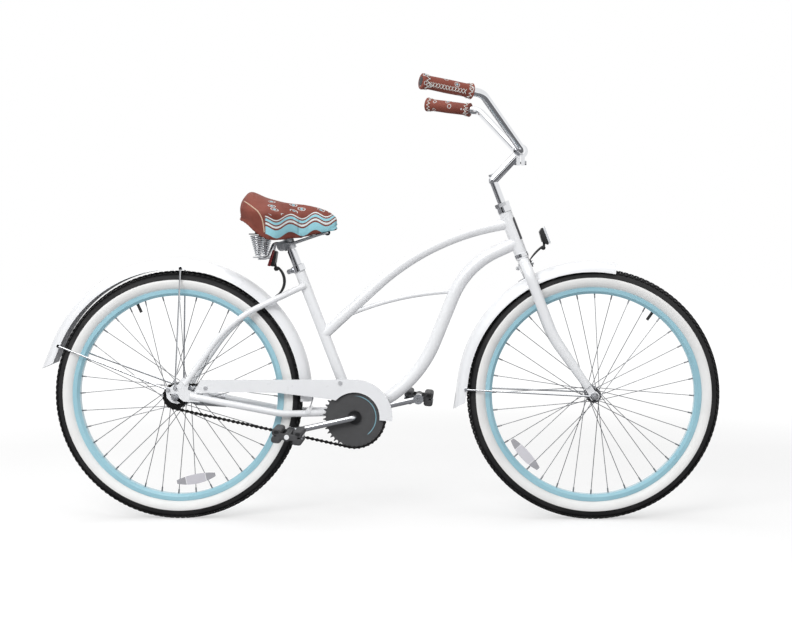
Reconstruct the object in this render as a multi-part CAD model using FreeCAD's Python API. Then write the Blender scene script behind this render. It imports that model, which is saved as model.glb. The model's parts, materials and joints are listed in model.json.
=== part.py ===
import FreeCAD
import Part
import math
import os

V = FreeCAD.Vector
os.makedirs("parts", exist_ok=True)

# Millimetres. X runs forward from the rear axle, Y to the bicycle's left, Z up from the floor.
# The drive side is the right side, at negative Y.

# Clearances
run_fit = 0.05
press_fit = 0.02
pass_gap = 0.3
slot_gap = 0.25
seat_gap = 0.1

# Wheels
wheelbase = 1110.0
tyre_r = 334.0
tyre_half = 27.0
tyre_wall = 2.6
tread_wall = 4.0
bead_r = 279.6
rim_edge_r = 285.5
rim_half = 17.4
rim_wall = 1.8
rim_well_r = 268.0
rim_well_half = 9.5
rim_well_wall = 2.0
tube_wall = 1.0
valve_r = 4.0
valve_length = 24.0
spoke_count = 36
spoke_r = 1.0
spoke_tilt = 60.0
spoke_phase = 9.0
spoke_stagger = 2.5
nipple_r = 2.0
nipple_length = 13.0
nipple_head_r = 3.0
nipple_head = 2.0
nipple_seat = 0.4
spoke_lean = 1.0
rear_valve_angle = 114.0
front_valve_angle = 54.0
reflector_long = 105.0
reflector_wide = 26.0
reflector_thick = 6.0
rear_reflector_r = 231.0
rear_reflector_angle = -78.7
front_reflector_r = 242.0
front_reflector_angle = 221.6

# Hubs
axle_r = 4.75
axle_stub = 10.0
axle_stub_r = 4.2
axle_relief = 0.8
axle_relief_r = 3.7
front_flange_y = 33.0
front_flange_r = 20.0
front_hole_r = 16.6
front_barrel_r = 13.0
front_hub_end = 42.0
front_old = 100.0
rear_flange_y = 30.0
rear_flange_r = 33.0
rear_hole_r = 29.0
rear_barrel_r = 24.0
rear_hub_right = 36.0
rear_hub_left = 38.0
rear_old = 110.0
flange_t = 3.0
hub_bore_r = 7.0
hub_cup_r = 12.0
hub_cup_depth = 8.0
hub_cup_wall = 2.5
hub_ball_r = 2.4
hub_ball_ring_r = 9.3
hub_ball_count = 9
cone_r = 8.0
driver_r = 17.0
brake_disc_r = 22.0
brake_arm_t = 3.0
washer_t = 2.0
washer_r = 10.0
nut_t = 9.0
nut_across = 15.0

# Drive
pitch = 12.7
ring_teeth = 40
cog_teeth = 16
chain_links = 104
chain_line = 44.0
bb_drop = 56.0
roller_r = 3.75
plate_half = 4.2
plate_t = 1.6
ring_t = 3.2
cog_t = 3.0
tooth_tip = 3.3
tooth_gap = 0.3
crank_length = 170.0
crank_angle = 191.9
crank_r = 8.0
crank_bend = 16.0
crank_corner_y = 60.0
crank_eye_y = 72.0
crank_eye_r = 14.0
crank_eye_t = 16.0
shoulder_r = 18.0
shoulder_t = 6.0
pedal_spindle_r = 6.0
pedal_length = 96.0
pedal_gap = 4.0
pedal_bar = 26.0
pedal_span = 86.0
pedal_height = 30.0
pedal_plate = 7.0
pedal_tube_r = 11.0
pedal_tilt = 6.0

# Bottom bracket
shell_r = 28.0
shell_half = 34.0
cup_wall_r = 25.63
cup_flange_r = 28.5
cup_flange_t = 2.5
cup_depth = 12.0
cup_floor = 3.0
race_r = 20.4
bb_ball_r = 3.1
bb_ball_ring_r = 17.0
bb_ball_count = 11
bb_cone_r = 13.6
bb_nut_across = 30.0
bb_nut_t = 6.0

# Frame tubes. Points of the two main tubes are (share of the span from the bottom bracket to the head
# tube, Z), and their bend radii are shares of that span too.
seat_angle = 69.2
seat_tube_length = 432.0
seat_tube_r = 14.3
seat_tube_bore = 12.75
head_angle = 69.3
head_setback = 190.1
head_bottom_x = wheelbase - head_setback
head_bottom_z = 709.6
head_length = 118.0
head_r = 17.5
head_bore = 15.1
tube_thick = 1.6
top_tube_r = 15.0
top_tube_on_seat = 233.8
top_tube_on_head = 86.0
top_tube_corner = (0.438, 749.5)
top_tube_bend = 1.467
down_tube_r = 17.5
down_tube_on_head = 32.0
down_tube_upper = (0.6693, 677.9)
down_tube_upper_bend = 0.51
down_tube_lower = (0.3782, 365.2)
down_tube_lower_bend = 0.745
brace_r = 6.35
brace_on_top = 66.5
brace_on_down = 0.783
brace_peak = 0.469
brace_rise = 15.7
seat_stay_r = 8.0
seat_stay_on_seat = 374.5
seat_stay_points = ((268.0, 46.0, 592.5), (146.6, 51.0, 535.3), (27.3, 57.5, 368.1))
seat_stay_bends = (80.0, 335.0)
stay_bridge = (272.0, 594.0)
stay_bridge_r = 8.4
chain_stay_r = 9.0
chain_stay_points = ((388.0, 27.0, 287.5), (285.0, 44.5, 287.0), (40.0, 57.5, 335.7))
chain_stay_bends = (60.0, 200.0)
chain_stay_y = 26.0
chain_stay_rise = 9.5
chain_bridge = (352.0, 293.0)
chain_bridge_r = 7.0
dropout_t = 5.0
dropout_y = 55.0
dropout_outline = (
    (-24.0, 16.0), (-22.0, -2.0), (-10.0, -14.0), (6.0, -18.0), (24.0, -12.0), (66.0, -14.0),
    (66.0, 4.0), (34.0, 20.0), (40.0, 44.0), (20.0, 52.0), (8.0, 33.0), (-4.0, 33.0), (-12.0, 26.0),
    (-24.0, 27.0),
)
slot_angle = -38.0
eyelets = ((0.8, 24.7), (-18.5, 20.0))
eyelet_bolt_r = 2.5
dropout_window = (-11.0, 6.5, 2.6)

# Headset and fork
steerer_r = 12.7
steerer_bore = 11.1
headset_r = 19.5
headset_cup_t = 9.0
headset_insert = 10.0
headset_race_r = 17.4
headset_race_depth = 5.5
headset_ball_r = 2.2
headset_ball_count = 14
crown_race_r = 17.0
crown_t = -38.0
crown_r = 16.0
locknut_across = 34.0
locknut_t = 9.0
blade_r = 14.0
blade_tip_r = 10.0
blade_wall = 1.6
blade_y = 51.0
blade_shoulder_t = -50.0
blade_shoulder_bend = 42.0
blade_bend_t = -235.0
blade_bend = 260.0
blade_end = 30.0
blade_plug = 26.0
blade_tongue = 22.0
fork_end_t = 6.0
fork_end_r = 13.0

# Stem and bar
quill_r = 11.05
quill_bottom_t = 70.0
quill_top_t = 207.0
stem_clamp = (head_bottom_x - 0.9, 979.0)
stem_r = 12.5
clamp_r = 19.0
clamp_half = 22.0
bar_r = 11.1
bar_centre_r = 12.7
bar_centre_half = 32.0
bar_wall = 1.6
bar_bends = ((stem_clamp[0], 84.0, stem_clamp[1]), (head_bottom_x - 105.1, 266.5, 1108.1),
             (head_bottom_x - 251.2, 328.0, 1133.5))
bar_bend_r = (60.0, 42.0)
grip_r = 16.5
grip_flange_r = 20.0
grip_flange_t = 5.0
grip_length = 132.0
grip_cap = 4.0
pinch_bolt_r = 3.0

# Mudguards
fender_t = 1.2
fender_half = 32.0
fender_depth = 29.0
rear_fender = {"offset": (-5.0, 2.0), "r": 366.0, "from": -3.0, "to": 157.0, "tail": 80.0,
               "skew": (32.0, 14.0)}
front_fender = {"offset": (-5.0, -3.0), "r": 358.0, "from": 79.0, "to": 172.0, "tail": 86.0,
                "skew": (32.0, 19.0)}
fender_stay_r = 2.5
rear_stay_radius = 340.0
rear_stay_angles = (86.7, 157.0)
front_stay_radius = 333.0
front_stay_angle = 176.8

# Chain guard
guard_y = 52.6
guard_t = 1.2
guard_lip = 9.0
guard_r = 101.0
guard_inner_r = 67.0
guard_end_angle = -6.0
guard_inner_angle = 137.0
guard_rear_top = (67.0, 379.0)
guard_lower = ((413.0, 327.0), (278.0, 344.0), (130.0, 346.6), (49.0, 343.2))
guard_screw = (80.9, 357.0)
guard_front_post = (440.0, 370.5)
guard_screw_r = 3.0

# Seat post and saddle
post_r = 12.7
post_neck_r = 11.1
post_bottom = 300.0
post_neck = 474.0
post_top = 505.0
collar_r = 18.0
collar_t = 18.0
collar_ear = 26.0
collar_bolt_r = 3.0
saddle_clamp_point = (285.0, 733.0)
saddle_clamp_r = 12.0
rail_r = 3.5
rail_half = 22.0
rail_nose = (405.0, 768.0)
rail_nose_half = 14.0
rail_nose_bend = 6.0
nose_lug = 4.0
nose_lug_half = 6.0
spring_x = 228.0
spring_y = 70.0
spring_top_z = 762.0
spring_bottom_z = 708.0
spring_top_r = 21.0
spring_bottom_r = 9.0
spring_turns = 6
spring_wire_r = 2.0
spring_boss_r = 8.0
pan_t = 3.0
skirt_inset = 4.0
skirt_lip = 11.0

# Saddle stations: X, half width, crown height, piping height, skirt foot, padding thickness
saddle_stations = (
    (175.0, 46.0, 855.0, 832.0, 812.0, 26.0),
    (190.0, 76.0, 872.0, 828.0, 796.0, 38.0),
    (215.0, 99.0, 877.0, 822.0, 779.0, 42.0),
    (245.0, 112.0, 861.0, 816.0, 763.0, 42.0),
    (270.0, 110.0, 852.0, 813.0, 758.0, 42.0),
    (300.0, 86.0, 845.0, 812.0, 760.0, 42.0),
    (335.0, 52.0, 841.0, 812.0, 765.0, 40.0),
    (380.0, 33.0, 835.0, 810.0, 772.0, 36.0),
    (420.0, 24.0, 820.0, 804.0, 776.0, 28.0),
    (436.0, 15.0, 806.0, 798.0, 781.0, 15.0),
)

# Reflectors and badge
front_lamp = ((head_bottom_x + 44.1, 766.0), (head_bottom_x + 53.1, 777.0), (head_bottom_x + 65.1, 779.0),
              (head_bottom_x + 78.6, 737.0), (head_bottom_x + 64.1, 730.0))
front_lamp_half = 24.0
front_lamp_foot = (head_bottom_x + 61.1, 748.0)
front_lamp_arm_t = (-24.0, -44.0)
rear_lamp = ((260.0, 724.0), (245.3, 681.0), (260.6, 678.5), (269.5, 718.6))
rear_lamp_half = 24.0
rear_lamp_arm = ((264.0, 700.0), (287.0, 641.0), (280.0, 611.0), (263.5, 600.3))
lens_t = 3.0
arm_t = 2.5
arm_half = 6.0
badge_t = 0.8
badge_span = (36.0, 97.0)
badge_half = 13.0


def y_cyl(x, z, r, y0, y1):
    return Part.makeCylinder(r, abs(y1 - y0), V(x, min(y0, y1), z), V(0, 1, 0))


def y_ring(x, z, r, bore, y0, y1):
    return y_cyl(x, z, r, y0, y1).cut(y_cyl(x, z, bore, y0, y1))


def y_plate(outline, y0, y1):
    corners = [V(x, y0, z) for x, z in outline]
    face = Part.Face(Part.makePolygon(corners + corners[:1]))
    return face.extrude(V(0, y1 - y0, 0))


def y_hex(x, z, across, y0, y1):
    r = across / math.sqrt(3)
    return y_plate([(x + r * math.cos(math.radians(60 * i)), z + r * math.sin(math.radians(60 * i)))
                    for i in range(6)], y0, y1)


def strip(points, t, y0, y1):
    """Flat bar of thickness t that follows a line of (x, z) points."""
    sides = ([], [])
    for i, p in enumerate(points):
        before = V(*p, 0) - V(*points[i - 1], 0) if i else None
        after = V(*points[i + 1], 0) - V(*p, 0) if i + 1 < len(points) else None
        runs = [V(d).normalize() for d in (before, after) if d]
        mean = (runs[0] + runs[-1]).normalize()
        normal = V(-mean.y, mean.x, 0) * (t / 2 / mean.dot(runs[0]))
        sides[0].append((p[0] + normal.x, p[1] + normal.y))
        sides[1].append((p[0] - normal.x, p[1] - normal.y))
    return y_plate(sides[0] + sides[1][::-1], y0, y1)


def spin(profile, x=0.0, z=0.0):
    """Turn an outline of (radius, y) corners about the Y axis through (x, z)."""
    corners = [V(r, y, 0) for r, y in profile]
    face = Part.Face(Part.makePolygon(corners + corners[:1]))
    return face.revolve(V(0, 0, 0), V(0, 1, 0), 360).translated(V(x, 0, z))


def stack(base, axis, profile):
    """Turn an outline of (radius, height) corners about an axis."""
    corners = [V(r, 0, t) for r, t in profile]
    face = Part.Face(Part.makePolygon(corners + corners[:1]))
    solid = face.revolve(V(0, 0, 0), V(0, 0, 1), 360)
    solid.Placement = FreeCAD.Placement(base, FreeCAD.Rotation(V(0, 0, 1), axis))
    return solid


def along(line, t0, t1, r):
    return Part.makeCylinder(r, t1 - t0, line[0] + line[1] * t0, line[1])


def ring_along(line, t0, t1, r, bore):
    return along(line, t0, t1, r).cut(along(line, t0, t1, bore))


def hex_along(line, t0, t1, across, bore):
    r = across / math.sqrt(3)
    corners = [V(r * math.cos(math.radians(60 * i)), r * math.sin(math.radians(60 * i)),
                 0) for i in range(6)]
    prism = Part.Face(Part.makePolygon(corners + corners[:1])).extrude(V(0, 0, t1 - t0))
    prism.Placement = FreeCAD.Placement(line[0] + line[1] * t0, FreeCAD.Rotation(V(0, 0, 1), line[1]))
    return prism.cut(along(line, t0, t1, bore))


def bent_path(points, radii):
    """Straight runs joined by tangent arcs, one radius for each inner corner."""
    edges = []
    start = points[0]
    for i, radius in enumerate(radii):
        corner = points[i + 1]
        a = (points[i] - corner).normalize()
        b = (points[i + 2] - corner).normalize()
        half = a.getAngle(b) / 2
        reach = radius / math.tan(half)
        p = corner + a * reach
        q = corner + b * reach
        mid = corner + (a + b).normalize() * (radius / math.sin(half) - radius)
        edges.append(Part.makeLine(start, p))
        edges.append(Part.Arc(p, mid, q).toShape())
        start = q
    edges.append(Part.makeLine(start, points[-1]))
    return Part.Wire(edges)


def rod(points, radii, r):
    disc = Part.Face(Part.Wire(Part.makeCircle(r, points[0], points[1] - points[0])))
    return bent_path(points, radii).makePipe(disc)


def mirrored(shape):
    return shape.mirror(V(0, 0, 0), V(0, 1, 0))


def both(shape):
    return [shape, mirrored(shape)]


def fused(shapes):
    return shapes[0].multiFuse(shapes[1:]).removeSplitter()


def ball_ring(centre, axis, ring_r, ball_r, count):
    side = axis.cross(V(0, 1, 0))
    if side.Length < 0.1:
        side = V(1, 0, 0)
    side = side.normalize()
    other = axis.cross(side).normalize()
    turns = [2 * math.pi * i / count for i in range(count)]
    return [Part.makeSphere(ball_r, centre + side * (ring_r * math.cos(a)) + other * (ring_r * math.sin(a)))
            for a in turns]


def polar(r, degrees, x=0.0, z=0.0):
    return x + r * math.cos(math.radians(degrees)), z + r * math.sin(math.radians(degrees))


# Layout that follows from the sizes above
ring_pr = pitch / (2 * math.sin(math.pi / ring_teeth))
cog_pr = pitch / (2 * math.sin(math.pi / cog_teeth))


def chain_pitches(centres):
    lean = math.asin((ring_pr - cog_pr) / centres)
    straight = 2 * math.sqrt(centres ** 2 - (ring_pr - cog_pr) ** 2) / pitch
    return straight + ring_teeth * (0.5 + lean / math.pi) + cog_teeth * (0.5 - lean / math.pi)


low = ring_pr + cog_pr
high = chain_links * pitch
for step in range(60):
    middle = (low + high) / 2
    if chain_pitches(middle) < chain_links:
        low = middle
    else:
        high = middle
centres = (low + high) / 2
bb_x = math.sqrt(centres ** 2 - bb_drop ** 2)
bb_z = tyre_r - bb_drop
bb = V(bb_x, 0, bb_z)
rear = V(0, 0, tyre_r)
front = V(wheelbase, 0, tyre_r)
seat_line = (bb, V(-math.cos(math.radians(seat_angle)), 0, math.sin(math.radians(seat_angle))))
head_line = (V(head_bottom_x, 0, head_bottom_z),
             V(-math.cos(math.radians(head_angle)), 0, math.sin(math.radians(head_angle))))
head_forward = V(head_line[1].z, 0, -head_line[1].x)


def on(line, t, y=0.0):
    p = line[0] + line[1] * t
    return V(p.x, y, p.z)


nodes = {}


def add(name, *solids):
    flat = []
    for s in solids:
        flat.extend(s if isinstance(s, (list, tuple)) else [s])
    pieces = []
    for s in flat:
        pieces.extend(s.Solids)
    nodes[name] = pieces


# Wheels, built about the axle and then put in place
def tyre():
    rim_inside = rim_half - rim_wall
    foot = rim_inside - pass_gap
    edge_r = rim_edge_r + 0.5
    mid_r = (edge_r + tyre_r) / 2 - 5
    shoulder_r1 = tyre_r - 11
    shoulder_y = tyre_half - 5.5
    outer = [Part.makeLine(V(bead_r, foot, 0), V(edge_r, foot, 0)),
             Part.Arc(V(edge_r, foot, 0), V(mid_r, tyre_half, 0), V(shoulder_r1, shoulder_y, 0)).toShape(),
             Part.Arc(V(shoulder_r1, shoulder_y, 0), V(tyre_r, 0, 0),
                      V(shoulder_r1, -shoulder_y, 0)).toShape(),
             Part.Arc(V(shoulder_r1, -shoulder_y, 0), V(mid_r, -tyre_half, 0),
                      V(edge_r, -foot, 0)).toShape(),
             Part.makeLine(V(edge_r, -foot, 0), V(bead_r, -foot, 0))]
    in_foot = foot - tyre_wall
    in_half = tyre_half - tyre_wall
    in_shoulder_r = shoulder_r1 - tyre_wall + 1
    in_shoulder_y = shoulder_y - tyre_wall + 0.4
    crown = tyre_r - tread_wall
    inner = [Part.makeLine(V(bead_r, -foot, 0), V(bead_r, -in_foot, 0)),
             Part.makeLine(V(bead_r, -in_foot, 0), V(edge_r, -in_foot, 0)),
             Part.Arc(V(edge_r, -in_foot, 0), V(mid_r, -in_half, 0),
                      V(in_shoulder_r, -in_shoulder_y, 0)).toShape(),
             Part.Arc(V(in_shoulder_r, -in_shoulder_y, 0), V(crown, 0, 0),
                      V(in_shoulder_r, in_shoulder_y, 0)).toShape(),
             Part.Arc(V(in_shoulder_r, in_shoulder_y, 0), V(mid_r, in_half, 0),
                      V(edge_r, in_foot, 0)).toShape(),
             Part.makeLine(V(edge_r, in_foot, 0), V(bead_r, in_foot, 0)),
             Part.makeLine(V(bead_r, in_foot, 0), V(bead_r, foot, 0))]
    face = Part.Face(Part.Wire(outer + inner))
    return face.revolve(V(0, 0, 0), V(0, 1, 0), 360)


def rim():
    inside = rim_half - rim_wall
    seat_r = bead_r - pass_gap
    well = rim_well_r + rim_well_wall
    half = [(rim_edge_r, rim_half), (bead_r - 4.6, rim_half), (rim_well_r, rim_well_half)]
    bed = [(well, rim_well_half - 1), (seat_r - 0.7, inside - 3.6), (seat_r, inside), (rim_edge_r, inside)]
    loop = half + [(r, -y) for r, y in half[::-1]] + [(r, -y) for r, y in bed[::-1]] + bed
    return spin(loop)


def wheel_spokes(hole_r, flange_y, flange_half):
    """Crossed spokes with their nipples and elbows, and the rim holes that they need."""
    solids = []
    holes = []
    for k in range(spoke_count):
        side = -1 if k % 2 == 0 else 1
        outside = k % 4 in (0, 1)
        turn = -spoke_tilt if outside else spoke_tilt
        away = flange_half + spoke_r + run_fit + (spoke_lean if outside else 0)
        y = side * (flange_y + (away if outside else -away))
        rim_angle = 360 / spoke_count * k + spoke_phase
        hx, hz = polar(hole_r, rim_angle + turn)
        rx, rz = polar(rim_well_r + rim_well_wall / 2, rim_angle)
        start = V(hx, y, hz)
        end = V(rx, side * spoke_stagger, rz)
        axis = (end - start).normalize()
        length = (end - start).Length
        top = length + rim_well_wall / 2 + nipple_seat
        profile = [(0, 0), (spoke_r, 0), (spoke_r, length - nipple_length),
                   (nipple_r, length - nipple_length), (nipple_r, top), (nipple_head_r, top),
                   (nipple_head_r, top + nipple_head), (0, top + nipple_head)]
        wire = stack(start, axis, profile)
        far = side * (flange_y + (-flange_half if outside else flange_half))
        past = far - math.copysign(spoke_r * 1.5, y - far)
        elbow = y_cyl(hx, hz, spoke_r, y, past).fuse(Part.makeSphere(spoke_r, start))
        head = y_cyl(hx, hz, spoke_r * 1.8, far - math.copysign(run_fit, y - far), past)
        solids.append(fused([wire, elbow, head]))
        holes.append(Part.makeCylinder(nipple_r + slot_gap, 4 * rim_well_wall,
                                       end - axis * (2 * rim_well_wall), axis))
    return solids, holes


def hub_holes(hole_r, flange_y):
    step = 360 / spoke_count
    cutters = []
    for k in range(spoke_count):
        side = -1 if k % 2 == 0 else 1
        turn = -spoke_tilt if k % 4 in (0, 1) else spoke_tilt
        x, z = polar(hole_r, step * k + spoke_phase + turn)
        cutters.append(y_cyl(x, z, spoke_r + pass_gap, side * (flange_y - flange_t),
                             side * (flange_y + flange_t)))
    return Part.makeCompound(cutters)


def inner_tube(angle):
    mid_r = (rim_edge_r + 0.5 + tyre_r) / 2 - 3.1
    fill = tyre_r - tread_wall - mid_r - 0.4
    body = Part.makeTorus(mid_r, fill, V(0, 0, 0), V(0, 1, 0))
    inside = Part.makeTorus(mid_r, fill - tube_wall, V(0, 0, 0), V(0, 1, 0))
    x, z = polar(1, angle)
    stem = Part.makeCylinder(valve_r, mid_r - fill + tube_wall / 2 - rim_well_r + valve_length,
                             V(x, 0, z) * (rim_well_r - valve_length), V(x, 0, z))
    return body.fuse(stem).cut(inside)


def valve_hole(angle):
    x, z = polar(1, angle)
    return Part.makeCylinder(valve_r + pass_gap, rim_edge_r - rim_well_r + 10,
                             V(x, 0, z) * (rim_well_r - 5), V(x, 0, z))


def wheel_reflector(r, angle, hole_r, flange_y):
    """Leaf-shaped plate that clips on the outer spokes of the drive side."""
    at = (r - reflector_wide / 4 - hole_r) / (rim_well_r - hole_r)
    spoke_y = (flange_y + flange_t / 2 + spoke_r + spoke_lean) * (1 - at) + spoke_stagger * at
    y = -(spoke_y + spoke_r + seat_gap)
    half = reflector_long / 2
    wide = reflector_wide / 2
    edges = [Part.Arc(V(-half, y, -wide / 2), V(0, y, -wide), V(half, y, -wide / 2)).toShape(),
             Part.makeLine(V(half, y, -wide / 2), V(half, y, wide / 4)),
             Part.Arc(V(half, y, wide / 4), V(0, y, wide), V(-half, y, wide / 4)).toShape(),
             Part.makeLine(V(-half, y, wide / 4), V(-half, y, -wide / 2))]
    leaf = Part.Face(Part.Wire(edges)).extrude(V(0, -reflector_thick, 0))
    leaf.translate(V(0, 0, r))
    leaf.rotate(V(0, 0, 0), V(0, -1, 0), angle - 90)
    return leaf


def hub_balls(y):
    return [b for s in (-1, 1) for b in
            ball_ring(V(0, s * y, 0), V(0, 1, 0), hub_ball_ring_r, hub_ball_r, hub_ball_count)]


def front_hub():
    barrel = y_cyl(0, 0, front_barrel_r, -front_hub_end, front_hub_end)
    flanges = both(y_cyl(0, 0, front_flange_r, front_flange_y - flange_t / 2,
                         front_flange_y + flange_t / 2))
    cups = both(y_cyl(0, 0, hub_cup_r + hub_cup_wall, front_hub_end - hub_cup_depth, front_hub_end))
    body = fused([barrel] + flanges + cups)
    body = body.cut(y_cyl(0, 0, hub_bore_r, -front_hub_end, front_hub_end))
    for cup in both(y_cyl(0, 0, hub_cup_r, front_hub_end - hub_cup_depth + 2, front_hub_end)):
        body = body.cut(cup)
    return body.cut(hub_holes(front_hole_r, front_flange_y))


def rear_hub():
    barrel = y_cyl(0, 0, rear_barrel_r, -rear_hub_right, rear_hub_left)
    flanges = both(y_cyl(0, 0, rear_flange_r, rear_flange_y - flange_t / 2, rear_flange_y + flange_t / 2))
    body = fused([barrel] + flanges).cut(y_cyl(0, 0, hub_bore_r, -rear_hub_right, rear_hub_left))
    body = body.cut(y_cyl(0, 0, hub_cup_r, -rear_hub_right, hub_cup_depth - 2 - rear_hub_right))
    body = body.cut(y_cyl(0, 0, hub_cup_r, rear_hub_left - hub_cup_depth + 2, rear_hub_left))
    return body.cut(hub_holes(rear_hole_r, rear_flange_y))


def put(shapes, place):
    return [s.translated(place) for s in shapes]


front_wires, front_holes = wheel_spokes(front_hole_r, front_flange_y, flange_t / 2)
rear_wires, rear_holes = wheel_spokes(rear_hole_r, rear_flange_y, flange_t / 2)
front_rim = rim().cut(Part.makeCompound(front_holes + [valve_hole(front_valve_angle)]))
rear_rim = rim().cut(Part.makeCompound(rear_holes + [valve_hole(rear_valve_angle)]))
tyre_solid = tyre()
front_ball_y = front_hub_end - hub_cup_depth + 2 + hub_ball_r + pass_gap
rear_ball_right = rear_hub_right - hub_cup_depth + 2 + hub_ball_r + pass_gap
rear_ball_left = rear_hub_left - hub_cup_depth + 2 + hub_ball_r + pass_gap
add("front_tyre", put([tyre_solid], front))
add("front_rim", put([front_rim], front))
add("front_spokes", put(front_wires, front))
add("front_inner_tube", put([inner_tube(front_valve_angle)], front))
add("front_hub", put([front_hub()] + hub_balls(front_ball_y), front))
add("front_wheel_reflector",
    put([wheel_reflector(front_reflector_r, front_reflector_angle, front_hole_r, front_flange_y)], front))
rear_balls = [b for y in (-rear_ball_right, rear_ball_left) for b in
              ball_ring(V(0, y, 0), V(0, 1, 0), hub_ball_ring_r, hub_ball_r, hub_ball_count)]
add("rear_tyre", put([tyre_solid], rear))
add("rear_rim", put([rear_rim], rear))
add("rear_spokes", put(rear_wires, rear))
add("rear_inner_tube", put([inner_tube(rear_valve_angle)], rear))
add("rear_hub", put([rear_hub()] + rear_balls, rear))
add("rear_wheel_reflector",
    put([wheel_reflector(rear_reflector_r, rear_reflector_angle, rear_hole_r, rear_flange_y)], rear))

# Axles with their cones, nuts and washers
cone_tip_r = hub_ball_ring_r - hub_ball_r - pass_gap
front_face = front_old / 2
front_outer = front_face + fork_end_t
eye_t = 2.0
front_nut_y = front_outer + washer_t + eye_t
front_axle_end = front_nut_y + nut_t + axle_relief + axle_stub
front_cone = [(axle_r, front_ball_y - hub_ball_r), (cone_tip_r, front_ball_y - hub_ball_r),
              (cone_tip_r, front_ball_y + hub_ball_r), (cone_r, front_hub_end + pass_gap),
              (cone_r, front_face), (axle_r, front_face)]
front_cone_solid = spin(front_cone, wheelbase, tyre_r)


def axle(x, z, end):
    neck = end - axle_stub
    shoulder = neck - axle_relief
    stub = y_cyl(x, z, axle_stub_r, neck, end)
    return fused([y_cyl(x, z, axle_r, -shoulder, shoulder),
                  y_cyl(x, z, axle_relief_r, -neck, neck)] + both(stub))


add("front_axle", axle(wheelbase, tyre_r, front_axle_end), both(front_cone_solid))
front_washer = y_ring(wheelbase, tyre_r, washer_r, axle_r, front_outer, front_outer + washer_t)
front_nut = y_hex(wheelbase, tyre_r, nut_across, front_nut_y, front_nut_y + nut_t)
front_nut = front_nut.cut(y_cyl(wheelbase, tyre_r, axle_r, front_nut_y, front_nut_y + nut_t))
add("front_axle_nuts", both(front_washer), both(front_nut))

rear_face = rear_old / 2
rear_outer = dropout_y + dropout_t
rear_nut_y = rear_outer + washer_t
rear_axle_end = rear_nut_y + nut_t + axle_relief + axle_stub
locknut_y = rear_face - 5
driver_in = rear_hub_right + pass_gap
driver_out = chain_line + 5
right_cone = spin([(axle_r, -rear_ball_right + hub_ball_r), (cone_tip_r, -rear_ball_right + hub_ball_r),
                   (cone_tip_r, -driver_in + 0.6), (axle_r, -driver_in + 0.6)], 0, tyre_r)
left_cone = spin([(axle_r, rear_ball_left - hub_ball_r), (cone_tip_r, rear_ball_left - hub_ball_r),
                  (cone_tip_r, rear_ball_left + hub_ball_r), (cone_r, rear_hub_left + pass_gap),
                  (rear_barrel_r - 6, rear_hub_left + pass_gap), (rear_barrel_r - 6,
                                                                  locknut_y - brake_arm_t),
                  (axle_r, locknut_y - brake_arm_t)], 0, tyre_r)
right_locknut = y_ring(0, tyre_r, cone_r, axle_r, -rear_face, -driver_out - pass_gap)
left_locknut = y_ring(0, tyre_r, cone_r, axle_r, locknut_y, rear_face)
add("rear_axle", axle(0, tyre_r, rear_axle_end), right_cone, left_cone, right_locknut, left_locknut)
rear_washer = y_ring(0, tyre_r, washer_r, axle_r, rear_outer, rear_nut_y)
rear_nut = y_hex(0, tyre_r, nut_across, rear_nut_y, rear_nut_y + nut_t)
rear_nut = rear_nut.cut(y_cyl(0, tyre_r, axle_r, rear_nut_y, rear_nut_y + nut_t))
add("rear_axle_nuts", both(rear_washer), both(rear_nut))


# Toothed wheels and chain
def toothed(teeth, pr, thickness, phase, bore, x, z, y):
    """Disc with a seat for a roller at each tooth gap."""
    step = 360 / teeth
    root = pr - roller_r - tooth_gap
    tip = pr + tooth_tip
    flat = math.degrees((roller_r * 0.70) / root)
    point = math.degrees(0.9 / tip)
    outline = []
    for i in range(teeth):
        a = phase + i * step
        outline += [polar(root, a - flat, x, z), polar(root, a + flat, x, z),
                    polar(tip, a + step / 2 - point, x, z), polar(tip, a + step / 2 + point, x, z)]
    body = y_plate(outline, y - thickness / 2, y + thickness / 2)
    return body.cut(y_cyl(x, z, bore, y - thickness, y + thickness))


ring_y = -chain_line
toward = math.degrees(math.atan2(tyre_r - bb_z, -bb_x))
spread = math.degrees(math.acos((ring_pr - cog_pr) / centres))
top_normal = toward - spread
bottom_normal = toward + spread
ring_wrap = 360 - 2 * spread
cog_wrap = 2 * spread
run = math.sqrt(centres ** 2 - (ring_pr - cog_pr) ** 2)
counts = (ring_teeth * ring_wrap / 360, run / pitch, cog_teeth * cog_wrap / 360, run / pitch)


def chain_point(s):
    """Place of pitch number s along the chain, from the top of the chainring."""
    if s < counts[0]:
        return polar(ring_pr, top_normal - s * 360 / ring_teeth, bb_x, bb_z)
    s -= counts[0]
    ring_low = polar(ring_pr, bottom_normal, bb_x, bb_z)
    cog_low = polar(cog_pr, bottom_normal, 0, tyre_r)
    if s < counts[1]:
        f = s / counts[1]
        return ring_low[0] + (cog_low[0] - ring_low[0]) * f, ring_low[1] + (cog_low[1] - ring_low[1]) * f
    s -= counts[1]
    if s < counts[2]:
        return polar(cog_pr, bottom_normal - s * 360 / cog_teeth, 0, tyre_r)
    s -= counts[2]
    ring_top = polar(ring_pr, top_normal, bb_x, bb_z)
    cog_top = polar(cog_pr, top_normal, 0, tyre_r)
    f = s / counts[3]
    return cog_top[0] + (ring_top[0] - cog_top[0]) * f, cog_top[1] + (ring_top[1] - cog_top[1]) * f


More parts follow.
